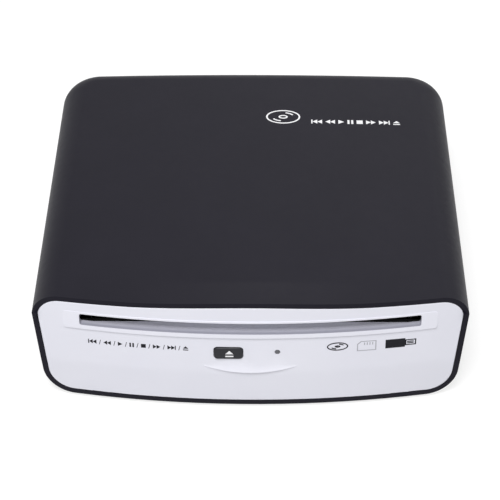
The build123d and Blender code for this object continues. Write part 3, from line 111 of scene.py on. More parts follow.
# %% [markdown]
# ## Nodes for the finishes
#
# Every finish is a small graph of shader nodes. Most share one idea: a noise read at the object's
# own coordinates varies the colour and the roughness a little, and a finer noise raises a relief.
# A few helpers keep those graphs short to write.


# %% Helpers for shader graphs
def add_node(tree, kind, inputs=None, **settings):
    """Add a node of a kind, set its inputs by their names, and set its other settings."""
    made = tree.nodes.new("ShaderNode" + kind)
    for setting, value in settings.items():
        setattr(made, setting, value)
    for socket, value in (inputs or {}).items():
        made.inputs[socket].default_value = value
    return made


def new_finish(name, inputs):
    """A material whose Principled shader is wired to its output; returns material, tree, shader."""
    material = bpy.data.materials.new(name)
    material.use_nodes = True
    tree = material.node_tree
    tree.nodes.clear()
    shader = add_node(tree, "BsdfPrincipled", inputs)
    output = add_node(tree, "OutputMaterial")
    tree.links.new(shader.outputs["BSDF"], output.inputs["Surface"])
    return material, tree, shader


def object_points(tree, squeeze=(1, 1, 1)):
    """The object's own coordinates, in metres, times a factor along each axis. A small factor
    squeezes the coordinates, and so draws a pattern out along that axis."""
    place = add_node(tree, "TexCoord")
    mapping = add_node(tree, "Mapping", {"Scale": squeeze})
    tree.links.new(place.outputs["Object"], mapping.inputs["Vector"])
    return mapping.outputs["Vector"]


def add_noise(tree, points, grain, detail=3.0):
    """A noise whose blobs are about grain across, in metres."""
    made = add_node(tree, "TexNoise", {"Scale": 1 / grain, "Detail": detail, "Roughness": 0.55})
    tree.links.new(points, made.inputs["Vector"])
    return made.outputs["Fac"]


def add_range(tree, value, low, high):
    """The middle half of a 0 to 1 value, spread between low and high."""
    ends = {"From Min": 0.25, "From Max": 0.75, "To Min": low, "To Max": high}
    made = add_node(tree, "MapRange", ends)
    tree.links.new(value, made.inputs["Value"])
    return made.outputs["Result"]


def add_blend(tree, value, first, second):
    """A colour between two colours; each may be a plain colour or another node's output."""
    made = add_node(tree, "Mix", data_type="RGBA")
    tree.links.new(value, made.inputs["Factor"])
    for socket, colour in (("A", first), ("B", second)):
        target = [s for s in made.inputs if s.name == socket and s.type == "RGBA"][0]
        if isinstance(colour, tuple):
            target.default_value = (*colour, 1)
        else:
            tree.links.new(colour, target)
    return [s for s in made.outputs if s.type == "RGBA"][0]


def add_relief(tree, shader, height, depth, strength=0.6):
    """Raise a height of the given depth, in metres, in the shader's normal."""
    made = add_node(tree, "Bump", {"Strength": strength, "Distance": depth})
    tree.links.new(height, made.inputs["Height"])
    tree.links.new(made.outputs["Normal"], shader.inputs["Normal"])


print("helpers for shader graphs ready")

# %% [markdown]
# ## Moulded and rubbery finishes
#
# Moulded plastic is never one flat colour. The mould leaves a fine texture, handling polishes it
# here and there, and a painted soft-touch coat scatters a little light at its edges. The same
# graph makes all of these from two tones, a grain, a roughness and a relief. Grain and relief are
# lengths: how wide the texture's bumps are, and how high.

# %% Finishes of the case, the panel, the button and the lamp's lens
broad_grain = 30 * MM


def moulded(name, tones, grain, roughness, relief, sockets=None):
    """Two tones mixed by a broad noise, roughness from a second noise, relief from a fine one."""
    material, tree, shader = new_finish(name, sockets)
    points = object_points(tree)
    broad = add_range(tree, add_noise(tree, points, broad_grain, detail=2.0), 0.0, 1.0)
    tree.links.new(add_blend(tree, broad, *tones), shader.inputs["Base Color"])
    spread = add_range(tree, add_noise(tree, points, 6 * grain), *roughness)
    tree.links.new(spread, shader.inputs["Roughness"])
    add_relief(tree, shader, add_noise(tree, points, grain), relief)
    return material


soft_touch = moulded(
    "soft_touch_black",
    tones=((0.0095, 0.0088, 0.0146), (0.0112, 0.0103, 0.0168)),
    grain=0.5 * MM,
    roughness=(0.42, 0.48),
    relief=0.02 * MM,
    sockets={"Specular IOR Level": 0.09},
)
panel_white = moulded(
    "panel_white",
    tones=((0.755, 0.757, 0.835), (0.775, 0.777, 0.850)),
    grain=1.6 * MM,
    roughness=(0.16, 0.20),
    relief=0.004 * MM,
    sockets={"Specular IOR Level": 0.45, "Coat Weight": 0.25, "Coat Roughness": 0.12},
)
button_black = moulded(
    "button_black",
    tones=((0.010, 0.010, 0.014), (0.013, 0.013, 0.018)),
    grain=0.6 * MM,
    roughness=(0.30, 0.38),
    relief=0.01 * MM,
    sockets={"Specular IOR Level": 0.3},
)
frosted_clear = moulded(
    "frosted_clear",
    tones=((0.10, 0.10, 0.11), (0.16, 0.16, 0.18)),
    grain=0.4 * MM,
    roughness=(0.25, 0.35),
    relief=0.01 * MM,
    sockets={"Transmission Weight": 0.35, "IOR": 1.49},
)
print("finishes of the outside ready")

# %% [markdown]
# ## Rubber, gears and glass inside
#
# The feet and the roller are matt rubber, the frames are black plastic with glass fibre in it, and
# the gears are a milky plastic that lets some light in under its skin. The pickup's lens is glass
# with the bluish tint of its coating.

# %% Finishes of rubber, filled plastic, gears and the lens
rubber_black = moulded(
    "rubber_black",
    tones=((0.014, 0.014, 0.014), (0.030, 0.029, 0.028)),
    grain=0.7 * MM,
    roughness=(0.70, 0.85),
    relief=0.05 * MM,
)
filled_black = moulded(
    "filled_black",
    tones=((0.015, 0.015, 0.016), (0.028, 0.028, 0.030)),
    grain=0.3 * MM,
    roughness=(0.45, 0.60),
    relief=0.02 * MM,
)
gear_white = moulded(
    "gear_white",
    tones=((0.70, 0.69, 0.63), (0.80, 0.79, 0.74)),
    grain=0.8 * MM,
    roughness=(0.35, 0.45),
    relief=0.01 * MM,
    sockets={"Subsurface Weight": 0.15, "Subsurface Radius": (1.0 * MM, 1.0 * MM, 0.8 * MM)},
)
lens_glass = moulded(
    "lens_glass",
    tones=((0.55, 0.62, 0.85), (0.65, 0.72, 0.95)),
    grain=2.0 * MM,
    roughness=(0.02, 0.05),
    relief=0.001 * MM,
    sockets={"Transmission Weight": 0.7, "IOR": 1.52},
)
print("finishes of rubber, gears and glass ready")

# %% [markdown]
# ## Printing ink
#
# Ink lies flat and dries matt, so all three inks share a grain, a roughness and a shallow relief.
# The dark one shines less than plastic does, or the sky would turn its fine lines grey.

# %% Finishes of the ink
ink_look = {"grain": 0.4 * MM, "roughness": (0.45, 0.6), "relief": 0.005 * MM}
dark_tones = ((0.006, 0.006, 0.009), (0.012, 0.012, 0.016))
grey_tones = ((0.36, 0.36, 0.40), (0.43, 0.43, 0.47))
white_tones = ((0.80, 0.80, 0.82), (0.88, 0.88, 0.90))
print_dark = moulded("print_dark", dark_tones, **ink_look, sockets={"Specular IOR Level": 0.12})
print_grey = moulded("print_grey", grey_tones, **ink_look)
print_white = moulded("print_white", white_tones, **ink_look)
print("three inks ready")

# %% [markdown]
# ## Metals
#
# Rolled sheet shows fine lines along the roll, turned pins show rings, and a cast part is grainy.
# Lines are a noise whose coordinates are squeezed along one axis, which draws its blobs out many
# times along it. The same noise makes the relief, so highlights spread across the lines, as they
# do on the real sheet.

# %% Metal finishes
stain_grain = 20 * MM


def drawn_metal(name, tones, grain, squeeze, roughness, relief):
    """Metal with a noise drawn out into lines; they vary its colour, roughness and relief."""
    material, tree, shader = new_finish(name, {"Metallic": 1.0})
    lines = add_noise(tree, object_points(tree, squeeze), grain, detail=5.0)
    stains = add_noise(tree, object_points(tree), stain_grain, detail=2.0)
    tone = add_blend(tree, add_range(tree, lines, 0.0, 1.0), *tones)
    dull = add_blend(tree, add_range(tree, stains, 0.0, 0.35), tone, tones[0])
    tree.links.new(dull, shader.inputs["Base Color"])
    tree.links.new(add_range(tree, lines, *roughness), shader.inputs["Roughness"])
    add_relief(tree, shader, lines, relief, strength=0.4)
    return material


sheet_steel = drawn_metal(
    "sheet_steel",
    tones=((0.42, 0.42, 0.43), (0.60, 0.60, 0.61)),
    grain=0.6 * MM,
    squeeze=(0.02, 1, 1),
    roughness=(0.28, 0.42),
    relief=0.01 * MM,
)
ground_steel = drawn_metal(
    "ground_steel",
    tones=((0.55, 0.55, 0.57), (0.72, 0.72, 0.74)),
    grain=0.3 * MM,
    squeeze=(1, 1, 0.1),
    roughness=(0.15, 0.25),
    relief=0.005 * MM,
)
black_zinc = drawn_metal(
    "black_zinc",
    tones=((0.06, 0.06, 0.065), (0.12, 0.12, 0.125)),
    grain=0.4 * MM,
    squeeze=(1, 1, 1),
    roughness=(0.35, 0.5),
    relief=0.01 * MM,
)
cast_zinc = drawn_metal(
    "cast_zinc",
    tones=((0.34, 0.34, 0.35), (0.48, 0.48, 0.49)),
    grain=0.9 * MM,
    squeeze=(1, 1, 1),
    roughness=(0.45, 0.6),
    relief=0.04 * MM,
)
bare_aluminium = drawn_metal(
    "bare_aluminium",
    tones=((0.62, 0.62, 0.64), (0.80, 0.80, 0.81)),
    grain=0.4 * MM,
    squeeze=(1, 1, 0.05),
    roughness=(0.22, 0.35),
    relief=0.01 * MM,
)
turned_brass = drawn_metal(
    "turned_brass",
    tones=((0.55, 0.40, 0.14), (0.72, 0.56, 0.24)),
    grain=0.3 * MM,
    squeeze=(0.05, 1, 1),
    roughness=(0.2, 0.32),
    relief=0.01 * MM,
)
print("metal finishes ready")

# %% [markdown]
# ## Felt
#
# Felt is a mat of short fibres, so its colour and relief come from a fine noise that a second,
# coarser noise pushes about. It is nearly without gloss, and a soft sheen stands for its loose
# ends.

# %% Felt finish
push_scale = 900.0
push_reach = 2 * MM
fibre_grain = 0.4 * MM
fibre_relief = 0.2 * MM


def felted(name, tones):
    """Fibres: a fine noise read at points that another noise has moved by up to a reach."""
    look = {"Roughness": 0.95, "Sheen Weight": 0.1, "Specular IOR Level": 0.1}
    material, tree, shader = new_finish(name, look)
    points = object_points(tree)
    push = add_node(tree, "TexNoise", {"Scale": push_scale, "Detail": 2.0})
    tree.links.new(points, push.inputs["Vector"])
    warp = add_node(tree, "VectorMath", operation="MULTIPLY_ADD")
    warp.inputs[1].default_value = (push_reach, push_reach, push_reach)
    tree.links.new(push.outputs["Color"], warp.inputs[0])
    tree.links.new(points, warp.inputs[2])
    fibres = add_noise(tree, warp.outputs["Vector"], fibre_grain, detail=6.0)
    tone = add_blend(tree, add_range(tree, fibres, 0.0, 1.0), *tones)
    tree.links.new(tone, shader.inputs["Base Color"])
    add_relief(tree, shader, fibres, fibre_relief)
    return material


felt_black = felted("felt_black", ((0.003, 0.003, 0.004), (0.012, 0.012, 0.013)))
print("felt ready, fibres", round(fibre_grain * 1000, 2), "mm across")

# %% [markdown]
# ## Circuit board and ribbon cable
#
# A circuit board is dark green varnish over copper lines, and the lines show as slightly raised,
# lighter bands. A brick pattern has such straight lines in its mortar. A ribbon cable repeats a
# narrow stripe across its width, which is a wave.

# %% Board and ribbon finishes
black = (0, 0, 0, 1)
white = (1, 1, 1, 1)
line_tone = (0.05, 0.20, 0.08)
board_grain = 8 * MM
board_relief = 0.05 * MM
wire_pitch = 1 * MM
wire_relief = 0.1 * MM


def varnished_board(name, tones):
    """Green varnish, mottled by a noise, over the lines that are a brick pattern's mortar."""
    material, tree, shader = new_finish(name, {"Roughness": 0.32, "Coat Weight": 0.4})
    points = object_points(tree)
    mortar = {"Scale": 60.0, "Mortar Size": 0.035, "Mortar Smooth": 0.2}
    mortar.update({"Color1": black, "Color2": black, "Mortar": white})
    lines = add_node(tree, "TexBrick", mortar)
    tree.links.new(points, lines.inputs["Vector"])
    mottle = add_range(tree, add_noise(tree, points, board_grain), 0.0, 1.0)
    varnish = add_blend(tree, mottle, *tones)
    tone = add_blend(tree, lines.outputs["Color"], varnish, line_tone)
    tree.links.new(tone, shader.inputs["Base Color"])
    add_relief(tree, shader, lines.outputs["Color"], board_relief)
    return material


def striped_ribbon(name, tones, pitch):
    """Parallel wires: a wave across X varies colour and relief. Its angle is 20 times the scaled
    place, so a scale of pi over ten pitches gives one full turn a pitch."""
    material, tree, shader = new_finish(name, {"Roughness": 0.45})
    wave = add_node(tree, "TexWave", {"Scale": pi / (10 * pitch), "Distortion": 0.0})
    tree.links.new(object_points(tree), wave.inputs["Vector"])
    tone = add_blend(tree, wave.outputs["Fac"], *tones)
    tree.links.new(tone, shader.inputs["Base Color"])
    add_relief(tree, shader, wave.outputs["Fac"], wire_relief)
    return material


board_green = varnished_board("board_green", ((0.008, 0.060, 0.026), (0.013, 0.085, 0.036)))
wire_tones = ((0.42, 0.44, 0.48), (0.70, 0.72, 0.75))
ribbon_grey = striped_ribbon("ribbon_grey", wire_tones, wire_pitch)
print("board and ribbon ready, wires", round(wire_pitch * 1000, 2), "mm apart")

# %% [markdown]
# ## Give every part its finish
#
# The record names a material slot for each node, so one table from slot to finish dresses all of
# them. A part that is never seen from outside still gets a real finish, because the case can be
# opened.

# %% Assign the finishes
finish_of_slot = {
    "case_plastic": soft_touch,
    "panel_plastic": panel_white,
    "button_plastic": button_black,
    "clear_plastic": frosted_clear,
    "felt": felt_black,
    "rubber": rubber_black,
    "steel": sheet_steel,
    "bright_steel": ground_steel,
    "screw_steel": black_zinc,
    "gear_plastic": gear_white,
    "black_plastic": filled_black,
    "zinc": cast_zinc,
    "circuit_board": board_green,
    "lens_glass": lens_glass,
    "aluminium": bare_aluminium,
    "brass": turned_brass,
    "cable": ribbon_grey,
}
nodes_of_body = frame["record"]["behaviour"]["bodies"]
body_of_node = {name: body for body, names in nodes_of_body.items() for name in names}
slot_of_node = {row["node"]: row["material_slot"] for row in frame["record"]["subparts"]}


def dress(piece, material):
    """Put one material in every slot of a piece."""
    if not piece.material_slots:
        piece.data.materials.append(material)
    for material_slot in piece.material_slots:
        material_slot.material = material


for name, node in nodes.items():
    dress(node, finish_of_slot[slot_of_node[name]])
print("dressed", len(nodes), "nodes with", len(set(slot_of_node.values())), "finishes")

# %% [markdown]
# ## Two tabs behind the chin
#
# Two tabs reach back from the panel's lower edge. At the outer side of each, the bowed and leaning
# chin falls back past the tab's front corners, which would stand out by up to a quarter of a
# millimetre. The panel gets a copy in the next step, and that copy has them drawn back to the
# face.

# %% Draw the tabs' corners in
tab_side_x = 49 * MM
tab_front_y = -83.339 * MM
tab_top_z = 5.4 * MM
tab_stands_out = 0.3 * MM
tolerance = 0.01 * MM


def draw_tabs_in(mesh):
    """Move each front corner at the tabs' outer sides along Y, to the depth of a corner behind
    it: of all those a little behind, the one at the least distance in X and Z."""
    places = np.empty(3 * len(mesh.vertices))
    mesh.vertices.foreach_get("co", places)
    x, y, z = places.reshape(-1, 3).T
    at_side = (abs(abs(x) - tab_side_x) < tolerance) & (z < tab_top_z + tolerance)
    in_front = at_side & (abs(y - tab_front_y) < tolerance)
    behind = at_side & (y > tab_front_y + tolerance) & (y < tab_front_y + tab_stands_out)
    across = x[in_front][:, None] - x[behind]
    along = z[in_front][:, None] - z[behind]
    if behind.any():
        y[in_front] = y[behind][np.hypot(across, along).argmin(axis=1)]
    mesh.vertices.foreach_set("co", places)
    return int(in_front.sum())


print("the tabs' outer sides are", round(tab_side_x * 1000, 1), "mm from the middle")

# %% [markdown]
# ## Smooth skins
#
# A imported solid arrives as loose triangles, each shaded flat, and its round shoulders would show
# facets. A copy whose corners are welded can be shaded smooth wherever two faces meet at a small
# angle. Its normals are then weighted by face area, so that big flat faces stay flat right up to
# the curve beside them. The copy stands for the node and rides on the same body.

# %% Welded copies
weld_reach = 0.002 * MM
smooth_angle = radians(35.0)


def weld(piece, reach):
    """Merge the piece's corners that lie within reach of each other."""
    bpy.context.view_layer.objects.active = piece
    bpy.ops.object.select_all(action="DESELECT")
    piece.select_set(True)
    bpy.ops.object.mode_set(mode="EDIT")
    bpy.ops.mesh.select_all(action="SELECT")
    bpy.ops.mesh.remove_doubles(threshold=reach)
    bpy.ops.object.mode_set(mode="OBJECT")


def smooth_skin(name):
    """A welded copy of a node, smooth below an angle between faces, in place of the node."""
    skin = nodes[name].copy()
    skin.data = nodes[name].data.copy()
    if name == "front_panel":
        print(draw_tabs_in(skin.data), "loose corners of the tabs drawn in")
    skin.name = name + "_skin"
    skin.parent = None
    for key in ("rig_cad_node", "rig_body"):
        if key in skin:
            del skin[key]
    bpy.context.scene.collection.objects.link(skin)
    weld(skin, weld_reach)
    bpy.ops.mesh.customdata_custom_splitnormals_clear()
    bpy.ops.object.shade_smooth_by_angle(angle=smooth_angle)
    weighted = skin.modifiers.new("weighted", "WEIGHTED_NORMAL")
    weighted.mode = "FACE_AREA"
    weighted.keep_sharp = True
    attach(skin, body_of_node[name])
    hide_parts(name)
    return skin


smooth_names = (
    "top_cover",
    "bottom_shell",
    "front_panel",
    "eject_button",
    "rubber_feet",
    "led_lens",
    "av_socket",
    "power_jack",
)
skins = {name: smooth_skin(name) for name in smooth_names}
for skin in skins.values():
    print(skin.name, len(skin.data.vertices), "vertices", len(skin.data.polygons), "faces")

# %% [markdown]
# ## The inside of the slot
#
# The walls of the panel's slot get painted shade: a grey, darker than the panel's white, that
# stands for the shadow inside the slot, so the slot reads as a darker line. Less and less light
# reaches them further in, so their grey starts dark at the mouth and turns pale inwards, as painted
# light, so that the colour and the falling light even out.
#
# How deep a point lies is the bow's radius less its distance from the bow's axis. The panel's
# skin gets this second material on the faces whose middles lie inside the slot's outline.

# %% Grey slot walls
case_width = 172 * MM
front_bulge = 9.5 * MM
front_y = -87 * MM
bow_radius = ((case_width / 2) ** 2 + front_bulge**2) / (2 * front_bulge)
slot_half_length = 66.96 * MM
slot_low_z = 39.16 * MM
slot_high_z = 44.39 * MM
# painted shade at the slot's mouth, and painted light deeper in, in place of the slot's own shading
painted_shade_tone = (0.31, 0.31, 0.37)
painted_light_tone = (0.88, 0.88, 0.98)
shade_start = 0.5 * MM
shade_end = 4.6 * MM
wall_grain = 0.8 * MM
wall_relief = 0.01 * MM


def painted_slot_shade(name):
    """Painted shade: a grey, dark at the mouth, that pales with depth behind the front's arc as
    painted light; with a fine grain and relief.
    """
    material, tree, shader = new_finish(name, {"Specular IOR Level": 0.25})
    points = object_points(tree)
    flat = add_node(tree, "VectorMath", operation="MULTIPLY_ADD")
    flat.inputs[1].default_value = (1, 1, 0)
    flat.inputs[2].default_value = (0, -(front_y + bow_radius), 0)
    tree.links.new(points, flat.inputs[0])
    reach = add_node(tree, "VectorMath", operation="LENGTH")
    tree.links.new(flat.outputs["Vector"], reach.inputs[0])
    ends = {"From Min": bow_radius - shade_start, "From Max": bow_radius - shade_end}
    depth = add_node(tree, "MapRange", ends)
    tree.links.new(reach.outputs["Value"], depth.inputs["Value"])
    tone = add_blend(tree, depth.outputs["Result"], painted_shade_tone, painted_light_tone)
    grain = add_noise(tree, points, wall_grain)
    dull = add_blend(tree, add_range(tree, grain, 0.0, 0.15), tone, painted_shade_tone)
    tree.links.new(dull, shader.inputs["Base Color"])
    tree.links.new(add_range(tree, grain, 0.45, 0.55), shader.inputs["Roughness"])
    add_relief(tree, shader, grain, wall_relief)
    return material


panel_mesh = skins["front_panel"].data
middles = np.empty(3 * len(panel_mesh.polygons))
panel_mesh.polygons.foreach_get("center", middles)
x, _, z = middles.reshape(-1, 3).T
inside = (abs(x) < slot_half_length) & (z > slot_low_z) & (z < slot_high_z)
# the faces that line the slot get the painted shade and painted light
panel_mesh.materials.append(painted_slot_shade("slot_painted_shade"))
panel_mesh.polygons.foreach_set("material_index", inside.astype(np.int32))
print(int(inside.sum()), "faces of the panel line its slot")

# %% [markdown]
# ## Surfaces that carry print
#
# The print is a layer of ink that stands a few hundredths of a millimetre proud. Each sign is
# drawn flat, in two directions u and v, and a surface function lays it onto the bowed front, the
# crowned roof or the flat button. An arc's depth under its crown is the radius less the root of
# radius squared less u squared.

# %% Front, roof and button
roof_z = 52.85 * MM
roof_crown = 1.5 * MM
ink = 0.03 * MM
crown_radius = ((case_width / 2) ** 2 + roof_crown**2) / (2 * roof_crown)
button_face_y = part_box("eject_button")[0].y


def on_front(u, v):
    """u runs along X and v up Z; y follows the front's arc, an ink layer in front of it."""
    y = front_y + bow_radius - np.sqrt(bow_radius**2 - u**2) - ink
    return np.stack([u, y, v], -1)


def on_roof(u, v):
    """u runs along X and v along Y; z follows the roof's arc, an ink layer above it."""
    z = roof_z - crown_radius + np.sqrt(crown_radius**2 - u**2) + ink
    return np.stack([u, v, z], -1)


def on_button(u, v):
    """u runs along X and v up Z, in the button's flat face."""
    return np.stack([u, np.full_like(u, button_face_y - ink), v], -1)


print("front bows with radius", round(bow_radius, 3), "m, roof with", round(crown_radius, 2), "m")

# %% [markdown]
# ## Patches
#
# A bar is a patch between four corners. A triangle is the same patch with two of its corners in
# one place. A ring is a band between two ellipses. Each is a grid of points, so that it can bend
# with the surface it goes onto.

# %% Patch, band, bar and triangle
patch_steps = 4
ring_steps = 48
arc_steps = 12


def patch(corners):
    """Bilinear patch: the four corners weighted by (1-s)(1-t), s(1-t), s t and (1-s) t."""
    steps = np.linspace(0, 1, patch_steps)
    s, t = np.meshgrid(steps, steps, indexing="ij")
    a, b, c, d = (np.array(corner, float) for corner in corners)
    weights = ((1 - s) * (1 - t), s * (1 - t), s * t, (1 - s) * t)
    return sum(w[..., None] * p for w, p in zip(weights, (a, b, c, d)))


def band(middle, radii, width, start=0.0, end=2 * pi, steps=ring_steps):
    """A band along an ellipse: middle + (radii - t width) (cos a, sin a), a from start to end."""
    a, t = np.meshgrid(np.linspace(start, end, steps), np.linspace(0, 1, 2), indexing="ij")
    round_point = np.stack([np.cos(a), np.sin(a)], -1)
    return np.array(middle) + (np.array(radii) - t[..., None] * width) * round_point


def bar(left, width, top, base=0.0, lean=0.0):
    """An upright bar from its base up to its top, with the top moved along by the lean."""
    right = left + width
    return [patch(((left, base), (right, base), (right + lean, top), (left + lean, top)))]


def arrow(left, width, height, way=1):
    """A triangle that points right, or left where way is -1; its corners run anticlockwise."""
    right = left + width
    if way < 0:
        tip = (left, height / 2)
        return [patch(((right, height), tip, tip, (right, 0)))]
    tip = (right, height / 2)
    return [patch(((left, 0), tip, tip, (left, height)))]


print("a patch has", patch_steps**2, "points, a ring", 2 * ring_steps)

# %% [markdown]
# ## Transport signs
#
# The signs for play, stop and the rest are made of bars and triangles. All their measures are
# parts of one height, so a sign can be drawn at any size.


# %% The signs for what the player does
def sign(kind, h):
    """The patches of one transport sign of height h, and its width."""
    point = 0.7 * h
    post = 0.18 * h
    if kind == "play":
        return arrow(0, 0.85 * h, h), 0.85 * h
    if kind == "pause":
        return bar(0, 0.3 * h, h) + bar(0.55 * h, 0.3 * h, h), 0.85 * h
    if kind == "stop":
        return bar(0, 0.9 * h, 0.95 * h, base=0.05 * h), 0.9 * h
    if kind == "slash":
        return bar(0, 0.12 * h, 1.05 * h, base=-0.05 * h, lean=0.28 * h), 0.4 * h
    if kind == "eject":
        roof = patch(((0, 0.44 * h), (h, 0.44 * h), (0.5 * h, h), (0.5 * h, h)))
        return [roof] + bar(0, h, 0.2 * h), h
    if kind == "forward":
        return arrow(0, point, h) + arrow(point, point, h), 2 * point
    if kind == "rewind":
        return arrow(0, point, h, -1) + arrow(point, point, h, -1), 2 * point
    if kind == "next":
        pair = arrow(0, point, h) + arrow(point, point, h)
        return pair + bar(2 * point, post, h), 2 * point + post
    pair = arrow(post, point, h, -1) + arrow(post + point, point, h, -1)
    return bar(0, post, h) + pair, 2 * point + post


def print_row(kinds, left, base, height, gap):
    """The patches of a row of signs, which starts at left and stands on the base."""
    patches = []
    at = left
    for kind in kinds:
        shapes, width = sign(kind, height)
        patches += [shape + np.array((at, base)) for shape in shapes]
        at += width + gap
    print("row of", len(kinds), "signs ends at", round((at - gap) * 1000, 1), "mm")
    return patches


functions = ("previous", "rewind", "play", "pause", "stop", "forward", "next", "eject")
print("widths over height:", [round(sign(kind, 1.0)[1], 2) for kind in functions])

# %% [markdown]
# ## Pictures of a disc, a card and a stick
#
# The three pictures are line drawings. A closed outline has a strip along each side, between the
# shape and a smaller copy of it, so the strips meet in the corners and never overlap.


# %% Disc, memory card and memory stick
def disc_picture(middle, radius, line, tilt):
    """A disc aslant: its rim, its hub at 0.27 of its size and, at 0.68 of it, two arcs of gloss a
    seventh of a turn long, all squeezed upwards by the tilt."""
    size = np.array((radius, radius * tilt))
    rings = [band(middle, size, line), band(middle, 0.27 * size, line)]
    for start in (0.15 * pi, 1.15 * pi):
        rings.append(band(middle, 0.68 * size, line, start, start + 0.28 * pi, arc_steps))
    return rings


def outline(corners, line):
    """A strip along each side of a closed shape; the inner corners are the outer ones drawn in
    towards the middle, by a line's width at the shape's far sides."""
    outer = np.array(corners)
    low = outer.min(0)
    high = outer.max(0)
    middle = (low + high) / 2
    inner = middle + (outer - middle) * (1 - 2 * line / (high - low))
    next_outer = np.roll(outer, -1, axis=0)
    next_inner = np.roll(inner, -1, axis=0)
    return [patch(strip) for strip in zip(outer, next_outer, next_inner, inner)]


def card_picture(left, base, width, height, line):
    """A memory card: the outline of a sheet with one cut corner, and a row of contacts, placed by
    parts of its width and height."""
    right = left + width
    top = base + height
    cut = 0.28 * height
    rim = ((left, base), (right, base), (right, top), (left + cut, top), (left, top - cut))
    contact = bar(0, line, 0.26 * height)[0]
    contact_x = left + np.array((0.36, 0.50, 0.64, 0.78)) * width
    contact_z = top - 0.42 * height
    return outline(rim, line) + [contact + np.array((at, contact_z)) for at in contact_x]


def stick_picture(left, base, width, height, line):
    """A memory stick: a filled body, a narrower plug in outline, and the plug's two contacts, by
    parts of its width and height and by its line."""
    start = left + 0.64 * width
    end = left + width
    low = base + 0.16 * height
    high = base + 0.84 * height
    body = bar(left, start - left, base + height, base=base)
    plug = outline(((start, low), (end, low), (end, high), (start, high)), line)
    first = start + 1.5 * line
    last = end - 2 * line
    contacts = []
    for z in (low + 0.2 * height, high - 0.2 * height - line):
        contacts += bar(first, last - first, z + line, base=z)
    return body + plug + contacts


line = 0.38 * MM
print("the front's pictures start from a line", round(line * 1000, 2), "mm wide")

# %% [markdown]
# ## From patches to ink
#
# A grid of points becomes a mesh when each cell is made a four-sided face. Points that lie in one
# place, as where a ring closes, are merged. Solidify then gives the sheet its thickness.

# %% Lay the patches on a surface
ink_weld = 0.001 * MM


def print_patches(name, patches, surface, material, body):
    """One mesh from flat patches: each grid goes onto the surface, its cells become quads, and
    Solidify gives the ink its thickness, down into the plastic."""
    points = []
    faces = []
    start = 0
    for flat in patches:
        rows, columns = flat.shape[:2]
        points.append(surface(flat[..., 0], flat[..., 1]).reshape(-1, 3))
        index = start + np.arange(rows * columns).reshape(rows, columns)
        quads = np.stack([index[:-1, :-1], index[1:, :-1], index[1:, 1:], index[:-1, 1:]], -1)
        faces.append(quads.reshape(-1, 4))
        start += rows * columns
    mesh = bpy.data.meshes.new(name)
    mesh.from_pydata(np.concatenate(points).tolist(), [], np.concatenate(faces).tolist())
    mesh.materials.append(material)
    piece = bpy.data.objects.new(name, mesh)
    bpy.context.scene.collection.objects.link(piece)
    weld(piece, ink_weld)
    thickness = piece.modifiers.new("ink", "SOLIDIFY")
    thickness.thickness = 2 * ink
    thickness.offset = -1
    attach(piece, body)
    print(name, len(mesh.polygons), "faces")


print("ink stands", round(ink * 1000, 3), "mm proud")

# %% [markdown]
# ## Print on the front
#
# The front carries a fine row at the left, which names what the player can do, and at the right a
# picture of each thing that it plays: a disc, a card and a memory stick. All of them are plain
# signs that any player may carry.

# %% Row, disc, card and stick on the front
with_slashes = [functions[0]]
for name in functions[1:]:
    with_slashes += ["slash", name]

left_row = print_row(with_slashes, left=-64 * MM, base=29.9 * MM, height=2.1 * MM, gap=0.98 * MM)
front_disc = disc_picture((34.3 * MM, 31.6 * MM), radius=4.2 * MM, line=1.35 * line, tilt=0.5)
front_card = card_picture(42.0 * MM, base=28.6 * MM, width=7.6 * MM, height=5.0 * MM, line=line)
front_stick = stick_picture(
    53.2 * MM, base=28.9 * MM, width=12.2 * MM, height=4.4 * MM, line=1.3 * line
)
print_patches("front_print_row", left_row, on_front, print_dark, "case")
print_patches("front_print_disc", front_disc, on_front, print_dark, "case")
print_patches("front_print_card", front_card, on_front, print_grey, "case")
print_patches("front_print_stick", front_stick, on_front, print_dark, "case")

# %% [markdown]
# ## Print on the roof and the button
#
# The roof has a larger disc with a row beside it, in white. The button has the usual sign for
# eject, on the right of its face, and it rides on the button so that the two go in together.

# %% Disc and row on the roof, sign on the button
roof_disc = disc_picture((13.4 * MM, 44.7 * MM), radius=7.5 * MM, line=0.7 * MM, tilt=0.7)
roof_row = print_row(functions, left=25.7 * MM, base=39.7 * MM, height=3.0 * MM, gap=1.45 * MM)
print_patches("roof_print_disc", roof_disc, on_roof, print_white, "case")
print_patches("roof_print_row", roof_row, on_roof, print_white, "case")

eject_height = 3.2 * MM
eject_left = -8.2 * MM - eject_height / 2
eject_sign = print_row(("eject",), eject_left, base=27.6 * MM, height=eject_height, gap=0.0)
print_patches("eject_sign", eject_sign, on_button, print_white, "eject_button")

# %% [markdown]
# ## Floor and background
#
# The floor and the world look white to the camera, and to reflections too, through the Light Path
# node. As a source of light each stays at a plain level of its own: the floor sends little back
# up, so faces that look down turn a shade darker, and the sky is soft and even.

# %% Floor
floor_half = 1.5
floor_grey = (0.35, 0.35, 0.35, 1)
floor_glow = 0.72


def seen_directly(tree):
    """1 for rays from the camera, from gloss and through glass, and 0 for rays that only light."""
    path = add_node(tree, "LightPath")
    first = add_node(tree, "Math", operation="MAXIMUM")
    second = add_node(tree, "Math", operation="MAXIMUM")
    tree.links.new(path.outputs["Is Camera Ray"], first.inputs[0])
    tree.links.new(path.outputs["Is Glossy Ray"], first.inputs[1])
    tree.links.new(first.outputs["Value"], second.inputs[0])
    tree.links.new(path.outputs["Is Transmission Ray"], second.inputs[1])
    return second.outputs["Value"]


floor_mesh = bpy.data.meshes.new("floor")
floor_corners = ((-1, -1), (1, -1), (1, 1), (-1, 1))
floor_points = [(x * floor_half, y * floor_half, 0) for x, y in floor_corners]
floor_mesh.from_pydata(floor_points, [], [(0, 1, 2, 3)])
floor = bpy.data.objects.new("floor", floor_mesh)
bpy.context.scene.collection.objects.link(floor)

